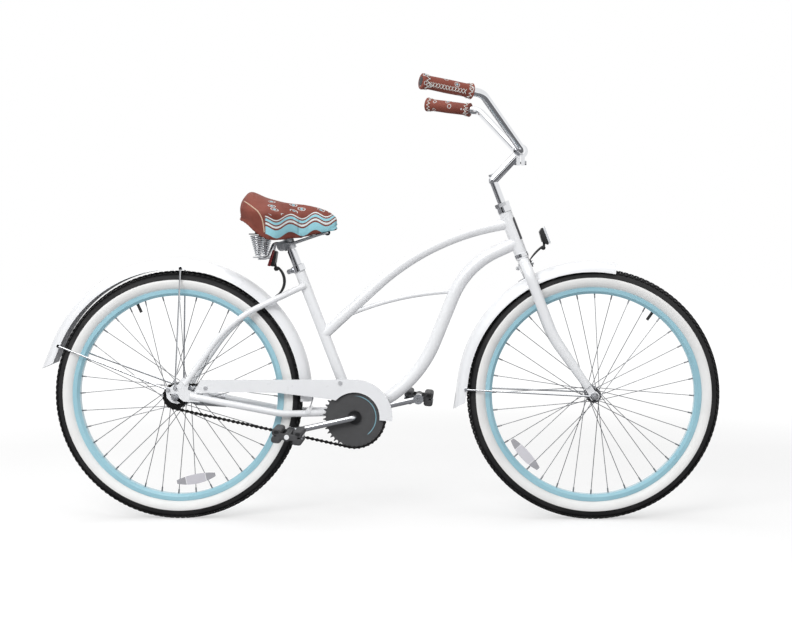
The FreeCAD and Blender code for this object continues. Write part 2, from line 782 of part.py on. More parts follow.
def chain_loop(offset, y):
    def at(r, a, x, z):
        px, pz = polar(r + offset, a, x, z)
        return V(px, y, pz)
    ring_low = at(ring_pr, bottom_normal, bb_x, bb_z)
    ring_top = at(ring_pr, top_normal, bb_x, bb_z)
    cog_low = at(cog_pr, bottom_normal, 0, tyre_r)
    cog_top = at(cog_pr, top_normal, 0, tyre_r)
    return Part.Wire([Part.Arc(ring_top, at(ring_pr, toward + 180, bb_x, bb_z), ring_low).toShape(),
                      Part.makeLine(ring_low, cog_low),
                      Part.Arc(cog_low, at(cog_pr, toward, 0, tyre_r), cog_top).toShape(),
                      Part.makeLine(cog_top, ring_top)])


def chain():
    inner_half = ring_t / 2 + pass_gap
    ribbons = []
    for y in (ring_y - inner_half - plate_t, ring_y + inner_half):
        band = Part.Face([chain_loop(plate_half, y), chain_loop(-plate_half, y)])
        ribbons.append(band.extrude(V(0, plate_t, 0)))
    rollers = []
    for i in range(chain_links):
        x, z = chain_point(i)
        rollers.append(y_cyl(x, z, roller_r, ring_y - inner_half, ring_y + inner_half))
    return ribbons + rollers


cog_first = math.ceil(counts[0] + counts[1])
cog_phase = bottom_normal - (cog_first - counts[0] - counts[1]) * 360 / cog_teeth
add("chain", chain())
add("chainring", toothed(ring_teeth, ring_pr, ring_t, top_normal, crank_r + press_fit, bb_x, bb_z, ring_y))
cog = toothed(cog_teeth, cog_pr, cog_t, cog_phase, axle_r + run_fit, 0, tyre_r, ring_y)
driver = y_ring(0, tyre_r, driver_r, axle_r + run_fit, -driver_out, -driver_in)
add("rear_sprocket", fused([driver, cog]))

# Frame tubes
shell_body = y_cyl(bb_x, bb_z, shell_r, -shell_half, shell_half)
shell_bore = cup_wall_r + press_fit
add("bb_shell", shell_body.cut(y_cyl(bb_x, bb_z, shell_bore, -shell_half, shell_half)))
cup_room = both(y_cyl(bb_x, bb_z, cup_flange_r + pass_gap, shell_half,
                      shell_half + cup_flange_t + pass_gap))
seat_outer = along(seat_line, 0, seat_tube_length, seat_tube_r)
add("seat_tube", ring_along(seat_line, 0, seat_tube_length, seat_tube_r, seat_tube_bore).cut(shell_body))
head_outer = along(head_line, 0, head_length, head_r)
add("head_tube", ring_along(head_line, 0, head_length, head_r, head_bore))

main_span = head_bottom_x - bb_x


def in_main(point):
    return V(bb_x + point[0] * main_span, 0, point[1])


top_path = [on(seat_line, top_tube_on_seat), in_main(top_tube_corner), on(head_line, top_tube_on_head)]
top_bends = [top_tube_bend * main_span]
top_outer = rod(top_path, top_bends, top_tube_r)
top_tube = top_outer.cut(rod(top_path, top_bends, top_tube_r - tube_thick))
add("top_tube", top_tube.cut(seat_outer).cut(head_outer))
down_path = [on(head_line, down_tube_on_head), in_main(down_tube_upper), in_main(down_tube_lower), bb]
down_bends = [down_tube_upper_bend * main_span, down_tube_lower_bend * main_span]
down_outer = rod(down_path, down_bends, down_tube_r)
down_tube = down_outer.cut(rod(down_path, down_bends, down_tube_r - tube_thick))
add("down_tube", down_tube.cut(head_outer).cut(shell_body).cut(seat_outer))
brace_from = top_path[0] + (top_path[1] - top_path[0]).normalize() * brace_on_top
brace_to = down_path[2] + (down_path[1] - down_path[2]) * brace_on_down
brace_mid = brace_from + (brace_to - brace_from) * brace_peak + V(0, 0, brace_rise)
brace_arc = Part.Wire([Part.Arc(brace_from, brace_mid, brace_to).toShape()])
brace_start = brace_arc.Edges[0]
brace_disc = Part.Face(Part.Wire(Part.makeCircle(brace_r, brace_start.valueAt(brace_start.FirstParameter),
                                                 brace_start.tangentAt(brace_start.FirstParameter))))
add("brace_tube", brace_arc.makePipe(brace_disc).cut(top_outer).cut(down_outer))

# Rear triangle
drop_shape = y_plate([(x, z + tyre_r) for x, z in dropout_outline], dropout_y, rear_outer)
slot_dir = V(math.cos(math.radians(slot_angle)), 0, math.sin(math.radians(slot_angle)))
slot_half = axle_r + slot_gap
slot_side = V(-slot_dir.z, 0, slot_dir.x) * slot_half
slot_far = rear + slot_dir * 40
slot_box = y_plate([(p.x, p.z) for p in (rear + slot_side, rear - slot_side, slot_far - slot_side,
                                         slot_far + slot_side)], dropout_y, rear_outer)
drop_shape = drop_shape.cut(slot_box).cut(y_cyl(0, tyre_r, slot_half, dropout_y, rear_outer))
for ex, ez in eyelets:
    drop_shape = drop_shape.cut(y_cyl(ex, ez + tyre_r, eyelet_bolt_r + run_fit, dropout_y, rear_outer))
drop_shape = drop_shape.cut(y_cyl(dropout_window[0], dropout_window[1] + tyre_r, dropout_window[2],
                                  dropout_y, rear_outer))
drop_shape = drop_shape.Solids[0]
add("dropouts", both(drop_shape))
stay_top = on(seat_line, seat_stay_on_seat, seat_tube_r)
stay_path = [stay_top] + [V(*p) for p in seat_stay_points]
stay_outer = rod(stay_path, seat_stay_bends, seat_stay_r)
seat_stay = stay_outer.cut(rod(stay_path, seat_stay_bends, seat_stay_r - tube_thick))
seat_stay = seat_stay.cut(seat_outer).cut(drop_shape)
seat_bridge = y_cyl(stay_bridge[0], stay_bridge[1], stay_bridge_r, -seat_stay_points[0][1],
                    seat_stay_points[0][1])
seat_bridge = seat_bridge.cut(stay_outer).cut(mirrored(stay_outer))
add("seat_stays", both(seat_stay.Solids[0]), max(seat_bridge.Solids, key=lambda s: s.Volume))
chain_path = [V(bb_x, chain_stay_y, bb_z + chain_stay_rise)] + [V(*p) for p in chain_stay_points]
lower_outer = rod(chain_path, chain_stay_bends, chain_stay_r)
lower_stay = lower_outer.cut(rod(chain_path, chain_stay_bends, chain_stay_r - tube_thick))
lower_stay = lower_stay.cut(shell_body).cut(cup_room[0]).cut(drop_shape)
lower_bridge = y_cyl(chain_bridge[0], chain_bridge[1], chain_bridge_r, -chain_stay_points[1][1],
                     chain_stay_points[1][1])
lower_bridge = lower_bridge.cut(lower_outer).cut(mirrored(lower_outer))
add("chain_stays", both(max(lower_stay.Solids, key=lambda s: s.Volume)),
    max(lower_bridge.Solids, key=lambda s: s.Volume))

# Headset: cups in the head tube, balls, and the cone and locknut on the steerer
insert_r = head_bore - press_fit
cup_bore = steerer_r + 0.9
lower_cup = stack(head_line[0], head_line[1],
                  [(cup_bore, headset_insert), (insert_r, headset_insert), (insert_r, 0), (headset_r, 0),
                   (headset_r, -headset_cup_t), (headset_race_r, -headset_cup_t),
                   (headset_race_r, headset_race_depth - headset_cup_t),
                   (cup_bore, headset_race_depth - headset_cup_t)])
upper_cup = stack(on(head_line, head_length), head_line[1],
                  [(cup_bore, -headset_insert), (insert_r, -headset_insert), (insert_r, 0), (headset_r, 0),
                   (headset_r, headset_cup_t), (headset_race_r, headset_cup_t),
                   (headset_race_r, headset_cup_t - headset_race_depth),
                   (cup_bore, headset_cup_t - headset_race_depth)])
add("headset_cups", lower_cup, upper_cup)
headset_ball_ring = (steerer_r + headset_race_r) / 2
race_floor = headset_cup_t - headset_race_depth
lower_ball_t = -race_floor - pass_gap - headset_ball_r
upper_ball_t = head_length + race_floor + pass_gap + headset_ball_r
lower_race_t = lower_ball_t - headset_ball_r - pass_gap
upper_cone_t = upper_ball_t + headset_ball_r + pass_gap

# Bottom bracket
cup_in = shell_half - cup_depth
floor_y = cup_in + cup_floor
cup_out = shell_half + cup_flange_t
bb_cup = spin([(bb_cone_r + 1, cup_in), (cup_wall_r, cup_in), (cup_wall_r, shell_half),
               (cup_flange_r, shell_half),
               (cup_flange_r, cup_out), (race_r,
                                         cup_out), (race_r, floor_y), (bb_cone_r + 1, floor_y)], bb_x, bb_z)
add("bb_cups", both(bb_cup))
bb_ball_y = floor_y + pass_gap + bb_ball_r
bb_balls = [b for s in (-1, 1) for b in
            ball_ring(V(bb_x, s * bb_ball_y, bb_z), V(0, 1, 0), bb_ball_ring_r, bb_ball_r, bb_ball_count)]
head_balls = [b for t in (lower_ball_t, upper_ball_t) for b in
              ball_ring(on(head_line, t), head_line[1], headset_ball_ring, headset_ball_r,
                        headset_ball_count)]
add("frame_bearings", head_balls, bb_balls)

# Cranks, chainring seat and pedals
crank_dir = V(math.cos(math.radians(crank_angle)), 0, math.sin(math.radians(crank_angle)))
right_eye = bb + crank_dir * crank_length - V(0, crank_eye_y, 0)
left_eye = bb - crank_dir * crank_length + V(0, crank_eye_y, 0)
crank_body = rod([right_eye, bb - V(0, crank_corner_y, 0), bb + V(0, crank_corner_y, 0), left_eye],
                 [crank_bend, crank_bend], crank_r)
shoulder_in = chain_line + ring_t / 2
eye_out = crank_eye_y + crank_eye_t / 2
eye_in = crank_eye_y - crank_eye_t / 2
crank_parts = [crank_body, y_cyl(bb_x, bb_z, shoulder_r, -shoulder_in - shoulder_t, -shoulder_in)]
for eye, s in ((right_eye, -1), (left_eye, 1)):
    crank_parts.append(y_cyl(eye.x, eye.z, crank_eye_r, s * eye_in, s * eye_out))
crank_solid = fused(crank_parts)
for eye, s in ((right_eye, -1), (left_eye, 1)):
    crank_solid = crank_solid.cut(y_cyl(eye.x, eye.z, pedal_spindle_r + press_fit, s * eye_in, s * eye_out))
add("crank", crank_solid)
cone_bore = crank_r + press_fit
cone_in = bb_ball_y - bb_ball_r
cap_r = race_r - 2 * pass_gap
cap_in = bb_ball_y + bb_ball_r + pass_gap
cap_out = cap_in + 2
left_cone_out = cup_out + 2
right_bb_cone = spin([(cone_bore, -cone_in), (bb_cone_r, -cone_in), (bb_cone_r, -cap_in), (cap_r, -cap_in),
                      (cap_r, -cap_out), (bb_cone_r, -cap_out), (bb_cone_r, ring_t / 2 - chain_line),
                      (cone_bore, ring_t / 2 - chain_line)], bb_x, bb_z)
left_bb_cone = spin([(cone_bore, cone_in), (bb_cone_r, cone_in), (bb_cone_r, cap_in), (cap_r, cap_in),
                     (cap_r, cap_out), (bb_cone_r, cap_out), (bb_cone_r, left_cone_out),
                     (cone_bore, left_cone_out)], bb_x, bb_z)
left_bb_nut = y_hex(bb_x, bb_z, bb_nut_across, left_cone_out, left_cone_out + bb_nut_t)
left_bb_nut = left_bb_nut.cut(y_cyl(bb_x, bb_z, cone_bore, left_cone_out, left_cone_out + bb_nut_t))
add("bb_cones", right_bb_cone, left_bb_cone, left_bb_nut)
pedal_in = eye_out + pedal_gap
pedal_out = pedal_in + pedal_length
spindles = []
for eye, s in ((right_eye, -1), (left_eye, 1)):
    stub = y_cyl(eye.x, eye.z, pedal_spindle_r, s * eye_in, s * (pedal_out - pedal_plate))
    collar = y_cyl(eye.x, eye.z, pedal_spindle_r + 2.5, s * eye_out, s * (pedal_in - pass_gap))
    spindles.append(fused([stub, collar]))
add("pedal_spindles", spindles)


def pedal(eye, s):
    """Resin pedal: two treads on a tube, tied by end plates, with a reflector on each edge."""
    def box(x0, x1, y0, y1, z0, z1):
        return Part.makeBox(x1 - x0, abs(y1 - y0), z1 - z0, V(x0, min(y0, y1), z0))
    h = pedal_height / 2
    w = pedal_span / 2
    y0 = s * pedal_in
    y1 = s * pedal_out
    tread = box(w - pedal_bar, w, y0, y1, -h, h)
    tread = tread.makeFillet(7, [e for e in tread.Edges if abs(e.tangentAt(e.FirstParameter).y) > 0.9])
    other = tread.mirror(V(0, 0, 0), V(1, 0, 0))
    near = box(-w + 6, w - 6, y0, y0 + s * pedal_plate, -h * 0.6, h * 0.6)
    far = box(-w + 6, w - 6, y1 - s * pedal_plate, y1, -h * 0.6, h * 0.6)
    tube = y_cyl(0, 0, pedal_tube_r, y0, y1)
    body = fused([tube, tread, other, near, far])
    body = body.cut(y_cyl(0, 0, pedal_spindle_r + run_fit, y0, s * (pedal_out - pedal_plate + pass_gap)))
    mid = (y0 + y1) / 2
    lamp_l = pedal_length / 2 - 16
    solids = []
    for side in (-1, 1):
        x0, x1 = (w - 3, w + 1.5) if side > 0 else (-w - 1.5, -w + 3)
        lamp = box(x0, x1, mid - lamp_l, mid + lamp_l, -h * 0.45, h * 0.45)
        body = body.cut(lamp)
        solids.append(lamp)
    solids.insert(0, body)
    for p in solids:
        p.rotate(V(0, 0, 0), V(0, 1, 0), pedal_tilt)
        p.translate(V(eye.x, 0, eye.z))
    return solids


add("right_pedal", pedal(right_eye, -1))
add("left_pedal", pedal(left_eye, 1))

# Fork
crown_seat_t = -headset_cup_t - 2 * pass_gap
steerer_top = upper_cone_t + 7 + locknut_t
bend_point = on(head_line, blade_bend_t, blade_y)
lower_dir = V(front.x - bend_point.x, fork_end_t / 2 + front_face - blade_y, front.z - bend_point.z)
lower_len = lower_dir.Length
lower_dir = lower_dir.normalize()
tip = bend_point + lower_dir * (lower_len - blade_end)
half_turn = (bend_point - on(head_line, blade_shoulder_t, blade_y)).getAngle(tip - bend_point) / 2
cone_start = bend_point + lower_dir * (blade_bend * math.tan(half_turn) + 5)
blade_path = [on(head_line, crown_t + 16, 6), on(head_line, blade_shoulder_t, blade_y), bend_point,
              cone_start]
blade_bends = [blade_shoulder_bend, blade_bend]
cone_len = (tip - cone_start).Length
cone = Part.makeCone(blade_r, blade_tip_r, cone_len, cone_start, lower_dir)
hole_len = cone_len - blade_plug
hole_end_r = blade_r - blade_wall - (blade_r - blade_tip_r) * hole_len / cone_len
cone_hole = Part.makeCone(blade_r - blade_wall, hole_end_r, hole_len, cone_start, lower_dir)
end_side = V(-lower_dir.z, 0, lower_dir.x) * (blade_tip_r - 1)
end_top = tip - lower_dir * blade_tongue
end_plate = y_plate([(p.x, p.z) for p in (end_top + end_side, front + end_side, front - end_side,
                                          end_top - end_side)], front_face, front_outer)
end_plate = end_plate.fuse(y_cyl(wheelbase, tyre_r, fork_end_r, front_face, front_outer)).removeSplitter()
notch = axle_r + slot_gap
end_plate = end_plate.cut(y_cyl(wheelbase, tyre_r, notch, front_face, front_outer))
end_plate = end_plate.cut(Part.makeBox(2 * notch, fork_end_t, 40,
                                       V(wheelbase - notch, front_face, tyre_r - 40)))
blade = rod(blade_path, blade_bends, blade_r).fuse(cone)
blade_hole = rod([blade_path[0] + (blade_path[1] - blade_path[0]).normalize() * 14] + blade_path[1:],
                 blade_bends,
                 blade_r - blade_wall).fuse(cone_hole)
crown = along(head_line, crown_t, crown_seat_t, crown_r)
steerer_body = along(head_line, crown_t, steerer_top, steerer_r)
race = fused([along(head_line, crown_seat_t - 4, crown_seat_t, headset_r - 1),
              along(head_line, crown_seat_t - 4, lower_race_t, crown_race_r)])
fork_body = fused([steerer_body, crown, race] + both(blade))
for cutter in both(blade_hole):
    fork_body = fork_body.cut(cutter)
fork_body = fork_body.fuse(end_plate).fuse(mirrored(end_plate))
fork_body = fork_body.cut(along(head_line, crown_seat_t, steerer_top, steerer_bore))
crown_bolt_t = sum(front_lamp_arm_t) / 2
crown_grip = crown_r + arm_t + 2 * seat_gap
crown_bolt_base = on(head_line, crown_bolt_t) - head_forward * (crown_grip + 8)
bolt_line = (crown_bolt_base, head_forward)
crown_bolt = fused([along(bolt_line, 0, 2 * crown_grip + 8, pinch_bolt_r),
                    along(bolt_line, 2 * crown_grip + 8, 2 * crown_grip + 12, pinch_bolt_r + 2.5)])
crown_nut = hex_along(bolt_line, 3, 8, 10, pinch_bolt_r)
fork_body = fork_body.cut(along(bolt_line, 0, 2 * crown_grip + 8, pinch_bolt_r + run_fit))
add("fork", fork_body)
top_cone = stack(on(head_line, 0), head_line[1],
                 [(steerer_r + press_fit, upper_cone_t), (crown_race_r, upper_cone_t),
                  (crown_race_r, head_length + headset_cup_t + pass_gap),
                  (headset_r - 0.5, head_length + headset_cup_t + pass_gap),
                  (headset_r - 0.5, upper_cone_t + 7), (steerer_r + press_fit, upper_cone_t + 7)])
locknut = hex_along(head_line, upper_cone_t + 7, steerer_top + 1, locknut_across, steerer_r + press_fit)
add("headset_locknut", top_cone, locknut)

# Stem, handlebar and grips
clamp_at = V(stem_clamp[0], 0, stem_clamp[1])
quill_top = on(head_line, quill_top_t)
reach = (clamp_at - quill_top).normalize()
quill = along(head_line, quill_bottom_t, quill_top_t, quill_r)
elbow = Part.makeSphere(stem_r, quill_top)
arm = Part.makeCylinder(stem_r, (clamp_at - quill_top).Length, quill_top, reach)
clamp_body = y_cyl(clamp_at.x, clamp_at.z, clamp_r, -clamp_half, clamp_half)
pinch_drop = clamp_r + 11
ear = y_plate([(clamp_at.x - 11, clamp_at.z - 8), (clamp_at.x + 11, clamp_at.z - 8),
               (clamp_at.x + 11, clamp_at.z - pinch_drop - 7), (clamp_at.x - 11,
                                                                clamp_at.z - pinch_drop - 7)],
              -clamp_half + 6, clamp_half - 6)
stem_body = fused([quill, elbow, arm, clamp_body, ear])
stem_body = stem_body.cut(y_cyl(clamp_at.x, clamp_at.z, bar_centre_r + run_fit, -clamp_half, clamp_half))
split = y_plate([(clamp_at.x - 1.2, clamp_at.z), (clamp_at.x + 1.2, clamp_at.z),
                 (clamp_at.x + 1.2, clamp_at.z - pinch_drop - 8), (clamp_at.x - 1.2,
                                                                   clamp_at.z - pinch_drop - 8)],
                -clamp_half, clamp_half)
pinch_line = (V(clamp_at.x - 18, 0, clamp_at.z - pinch_drop), V(1, 0, 0))
stem_body = stem_body.cut(split).cut(along(pinch_line, 0, 36, pinch_bolt_r + run_fit))
stem_body = stem_body.cut(along(head_line, quill_bottom_t, quill_top_t + stem_r, pinch_bolt_r + 1))
stem_body = stem_body.cut(along(pinch_line, -30, 7, pinch_bolt_r + 2.5 + pass_gap))
stem_body = stem_body.cut(along(head_line, quill_top_t + stem_r, quill_top_t + 3 * stem_r,
                                pinch_bolt_r + 4 + pass_gap))
add("stem", stem_body)
pinch = fused([along(pinch_line, 3, 34, pinch_bolt_r), along(pinch_line, 2, 7, pinch_bolt_r + 2.5)])
pinch_nut = hex_along(pinch_line, 29, 34, 10, pinch_bolt_r)
expander = fused([along(head_line, quill_bottom_t - 6, quill_top_t + stem_r + 4,
                        pinch_bolt_r + 1 - run_fit),
                  along(head_line, quill_top_t + stem_r, quill_top_t + stem_r + 5, pinch_bolt_r + 4)])
wedge = ring_along(head_line, quill_bottom_t - 18, quill_bottom_t, quill_r, pinch_bolt_r + 1)
add("fork_bolts", pinch, pinch_nut, expander, wedge, crown_bolt, crown_nut)

left_bar = [V(*p) for p in bar_bends]
right_bar = [V(p.x, -p.y, p.z) for p in left_bar]
bar_path = left_bar[::-1] + right_bar
bar_turns = [bar_bend_r[1], bar_bend_r[0], bar_bend_r[0], bar_bend_r[1]]
bar = rod(bar_path, bar_turns, bar_r)
bar = bar.fuse(y_cyl(clamp_at.x, clamp_at.z, bar_centre_r, -bar_centre_half, bar_centre_half))
bar = bar.cut(rod(bar_path, bar_turns, bar_r - bar_wall))
add("handlebar", bar)
grip_axis = (left_bar[1] - left_bar[2]).normalize()
bore = bar_r + run_fit
left_grip = stack(left_bar[2], grip_axis,
                  [(0, -grip_cap), (grip_flange_r, -grip_cap), (grip_flange_r, grip_flange_t - grip_cap),
                   (grip_r, grip_flange_t), (grip_r, grip_length - grip_flange_t - 2),
                   (grip_flange_r, grip_length - grip_flange_t), (grip_flange_r, grip_length), (bore,
                                                                                                grip_length),
                   (bore, -press_fit), (0, -press_fit)])
add("grips", both(left_grip))


# Mudguards
def fender_parts(axle, spec):
    """Arched guard about a centre near the axle, with a straight skew-cut tail."""
    centre = axle + V(spec["offset"][0], 0, spec["offset"][1])
    crown_r = spec["r"]
    arch_r = (fender_half ** 2 + fender_depth ** 2) / (2 * fender_depth)
    mid = crown_r - arch_r
    edge = math.atan2(crown_r - fender_depth - mid, fender_half)

    def arch(r):
        ends = [V(mid + r * math.sin(edge), s * r * math.cos(edge), 0) for s in (-1, 1)]
        return ends, Part.Arc(ends[0], V(mid + r, 0, 0), ends[1]).toShape()
    outer_ends, outer_arc = arch(arch_r)
    inner_ends, inner_arc = arch(arch_r - fender_t)
    sheet = Part.Face(Part.Wire([outer_arc, Part.makeLine(outer_ends[1], inner_ends[1]), inner_arc,
                                 Part.makeLine(inner_ends[0], outer_ends[0])]))
    block = Part.Face(Part.Wire([outer_arc, Part.makeLine(outer_ends[1], outer_ends[0])]))
    out = []
    for face in (sheet, block):
        begin = face.copy()
        begin.rotate(V(0, 0, 0), V(0, -1, 0), spec["from"])
        bow = begin.revolve(V(0, 0, 0), V(0, -1, 0), spec["to"] - spec["from"])
        finish = face.copy()
        finish.rotate(V(0, 0, 0), V(0, -1, 0), spec["to"])
        angle = math.radians(spec["to"])
        tangent = V(-math.sin(angle), 0, math.cos(angle))
        tail = finish.extrude(tangent * spec["tail"])
        x, z = polar(crown_r, spec["to"])
        end = V(x, 0, z) + tangent * spec["tail"]
        skew = V(spec["skew"][0], 0, spec["skew"][1])
        corners = (end - skew, end + skew * 3, end + skew * 3 + tangent * 90, end - skew + tangent * 90)
        cutter = y_plate([(p.x, p.z) for p in corners], -2 * fender_half, 2 * fender_half)
        whole = bow.fuse(tail).removeSplitter().cut(cutter)
        out.append(whole.translated(centre))
    return out


rear_guard, rear_block = fender_parts(rear, rear_fender)
front_guard, front_block = fender_parts(front, front_fender)
add("rear_fender", rear_guard)
add("front_fender", front_guard)


def fender_stay(start, centre, radius, angle, y_end):
    x, z = polar(radius, angle, centre.x, centre.z)
    end = V(x, y_end, z)
    return rod([start, end], [], fender_stay_r), end


rear_centre = rear + V(rear_fender["offset"][0], 0, rear_fender["offset"][1])
front_centre = front + V(front_fender["offset"][0], 0, front_fender["offset"][1])
stay_y = fender_half + fender_stay_r + pass_gap
eye_y = rear_outer + fender_stay_r
hardware = []
rear_stays = []
for (ex, ez), angle in zip(eyelets, rear_stay_angles):
    start = V(ex, eye_y, ez + tyre_r)
    wire, end = fender_stay(start, rear_centre, rear_stay_radius, angle, stay_y)
    eye = y_cyl(ex, ez + tyre_r, eyelet_bolt_r + 3, rear_outer, rear_outer + 2 * fender_stay_r)
    foot = y_cyl(end.x, end.z, fender_stay_r + 2, fender_half, stay_y + fender_stay_r)
    stay = fused([wire, eye, foot]).cut(rear_block).cut(drop_shape)
    stay = stay.cut(y_cyl(ex, ez + tyre_r, eyelet_bolt_r + 2 + run_fit, rear_outer + 2 * fender_stay_r,
                          eye_y + 20))
    stay = stay.cut(y_cyl(ex, ez + tyre_r, eyelet_bolt_r + run_fit, rear_outer,
                          rear_outer + 2 * fender_stay_r))
    rear_stays += both(stay.Solids[0])
    bolt = fused([y_cyl(ex, ez + tyre_r, eyelet_bolt_r, dropout_y - 2, rear_outer + 2 * fender_stay_r),
                  y_cyl(ex, ez + tyre_r, eyelet_bolt_r + 2, rear_outer + 2 * fender_stay_r,
                        rear_outer + 2 * fender_stay_r + 3)])
    hardware += both(bolt)
add("rear_fender_stays", rear_stays)
eye_mid = front_outer + washer_t + eye_t / 2
front_wire, front_end = fender_stay(front + V(-washer_r + 2, eye_mid, 0), front_centre, front_stay_radius,
                                    front_stay_angle, stay_y)
front_eye = y_cyl(wheelbase, tyre_r, washer_r, front_outer + washer_t, front_nut_y)
front_foot = y_cyl(front_end.x, front_end.z, fender_stay_r + 2, fender_half - 2, stay_y + fender_stay_r)
front_wire = front_wire.cut(y_cyl(wheelbase, tyre_r, washer_r + 1, 0, front_outer + washer_t))
front_wire = front_wire.cut(y_cyl(wheelbase, tyre_r, washer_r + 1, front_nut_y, front_nut_y + 20))
front_stay = fused([front_wire, front_eye, front_foot]).cut(front_block)
front_stay = front_stay.cut(y_cyl(wheelbase, tyre_r, axle_r + run_fit, front_outer, front_nut_y))
hang = head_forward * -(crown_r + arm_t / 2 + seat_gap)
hang_top = on(head_line, front_lamp_arm_t[0]) + hang
hang_low = on(head_line, front_lamp_arm_t[1]) + hang
hang_angle = math.degrees(math.atan2(hang_low.z - front_centre.z, hang_low.x - front_centre.x))
foot_r = front_fender["r"] + arm_t / 2 + seat_gap
hanger = strip([(hang_top.x, hang_top.z), (hang_low.x, hang_low.z),
                polar(foot_r, hang_angle, front_centre.x, front_centre.z),
                polar(foot_r, hang_angle + 3, front_centre.x, front_centre.z)], arm_t, -arm_half, arm_half)
hanger = hanger.cut(front_block).cut(along(bolt_line, 0, 2 * crown_grip + 8, pinch_bolt_r + run_fit))
add("front_fender_stays", both(max(front_stay.Solids, key=lambda s: s.Volume)),
    max(hanger.Solids, key=lambda s: s.Volume))

# Chain guard with its inward lip
guard_out = -guard_y - guard_t
guard_top = bb_z + guard_r


def guard_edge(r, y, back):
    a = polar(r, 90, bb_x, bb_z)
    m = polar(r, (90 + guard_end_angle) / 2, bb_x, bb_z)
    e = polar(r, guard_end_angle, bb_x, bb_z)
    drop = guard_r - r
    return [Part.makeLine(V(back[0], y, guard_top - drop), V(a[0], y, a[1])),
            Part.Arc(V(a[0], y, a[1]), V(m[0], y, m[1]), V(e[0], y, e[1])).toShape()], V(e[0], y, e[1])


def guard_sheet():
    y = guard_out
    edges, last = guard_edge(guard_r, y, guard_rear_top)
    i0 = polar(guard_inner_r, guard_end_angle, bb_x, bb_z)
    im = polar(guard_inner_r, (guard_end_angle + guard_inner_angle) / 2, bb_x, bb_z)
    i1 = polar(guard_inner_r, guard_inner_angle, bb_x, bb_z)
    edges.append(Part.makeLine(last, V(i0[0], y, i0[1])))
    edges.append(Part.Arc(V(i0[0], y, i0[1]), V(im[0], y, im[1]), V(i1[0], y, i1[1])).toShape())
    points = [i1] + list(guard_lower) + [(guard_rear_top[0], guard_top)]
    for p, q in zip(points, points[1:]):
        edges.append(Part.makeLine(V(p[0], y, p[1]), V(q[0], y, q[1])))
    sheet = Part.Face(Part.Wire(edges)).extrude(V(0, guard_t, 0))
    upper, upper_last = guard_edge(guard_r, y, guard_rear_top)
    lower, lower_last = guard_edge(guard_r - guard_t, y, guard_rear_top)
    closing = [Part.makeLine(upper_last, lower_last),
               Part.makeLine(V(guard_rear_top[0], y, guard_top),
                             V(guard_rear_top[0], y, guard_top - guard_t))]
    rim_face = Part.Face(Part.Wire(Part.__sortEdges__(upper + lower + closing)))
    return sheet.fuse(rim_face.extrude(V(0, guard_lip, 0))).removeSplitter()


guard = guard_sheet()
for sx, sz in (guard_screw, guard_front_post):
    guard = guard.cut(y_cyl(sx, sz, guard_screw_r + run_fit, guard_out, -guard_y))
add("chain_guard", guard)
tab = Part.makeBox(14, 3, 40, V(guard_screw[0] - 7, -guard_y, guard_screw[1] - 33))
tab = tab.cut(mirrored(lower_outer)).cut(mirrored(drop_shape))
tab = max(tab.Solids, key=lambda s: s.CenterOfMass.z)
tab = tab.cut(y_cyl(guard_screw[0], guard_screw[1], guard_screw_r + run_fit, -guard_y, -guard_y + 3))
post = y_cyl(guard_front_post[0], guard_front_post[1], 5, -guard_y, 0).cut(seat_outer)
post = post.Solids[0].cut(y_cyl(guard_front_post[0], guard_front_post[1], guard_screw_r + run_fit, -guard_y,
                                -guard_y + 12))
hardware += [tab, post]
for (sx, sz), depth in ((guard_screw, 3.0), (guard_front_post, 11.0)):
    hardware.append(fused([y_cyl(sx, sz, guard_screw_r, guard_out, -guard_y + depth),
                           y_cyl(sx, sz, guard_screw_r + 2.5, guard_out - 2.5, guard_out)]))

# Coaster brake arm and its strap round the left chain stay
lower_start = V(*chain_stay_points[1])
lower_end = V(*chain_stay_points[2])
lower_run = (lower_end - lower_start).normalize()
strap_x = 112.0
strap_at = lower_start + lower_run * ((strap_x - lower_start.x) / lower_run.x)
arm_y0 = locknut_y - brake_arm_t
bolt_z = strap_at.z - chain_stay_r - 11
arm_plate = y_plate([(-6, tyre_r - 14), (36, tyre_r - 34), (strap_x + 8, bolt_z - 7),
                     (strap_x + 8, bolt_z + 6),
                     (50, tyre_r - 17), (14, tyre_r - 4)], arm_y0, locknut_y)
arm_plate = arm_plate.fuse(y_cyl(0, tyre_r, brake_disc_r, arm_y0, locknut_y)).removeSplitter()
arm_plate = arm_plate.cut(y_cyl(0, tyre_r, axle_r + run_fit, arm_y0, locknut_y))
strap_bolt_r = 2.5
arm_plate = arm_plate.cut(y_cyl(strap_x, bolt_z, strap_bolt_r + run_fit, arm_y0, locknut_y))
strap_line = (strap_at - lower_run * 6, lower_run)
strap = along(strap_line, 0, 12, chain_stay_r + 1.8)
strap_tab = y_plate([(strap_x - 6, strap_at.z), (strap_x + 6, strap_at.z), (strap_x + 6, bolt_z - 6),
                     (strap_x - 6, bolt_z - 6)], locknut_y, locknut_y + 2)
strap = strap.fuse(strap_tab).removeSplitter().cut(along(strap_line, -20, 32, chain_stay_r + press_fit))
strap = strap.cut(y_plate([(strap_x - 9, strap_at.z - 30), (strap_x + 9, strap_at.z - 30),
                           (strap_x + 9, bolt_z + 8), (strap_x - 9, bolt_z + 8)], arm_y0 - 5, locknut_y))
strap = max(strap.Solids, key=lambda s: s.Volume)
strap = strap.cut(y_cyl(strap_x, bolt_z, strap_bolt_r + run_fit, arm_y0, locknut_y + 4))
strap_bolt = fused([y_cyl(strap_x, bolt_z, strap_bolt_r, arm_y0 - 3, locknut_y + 2),
                    y_cyl(strap_x, bolt_z, strap_bolt_r + 2, locknut_y + 2, locknut_y + 5)])
add("brake_arm", arm_plate, strap, strap_bolt)

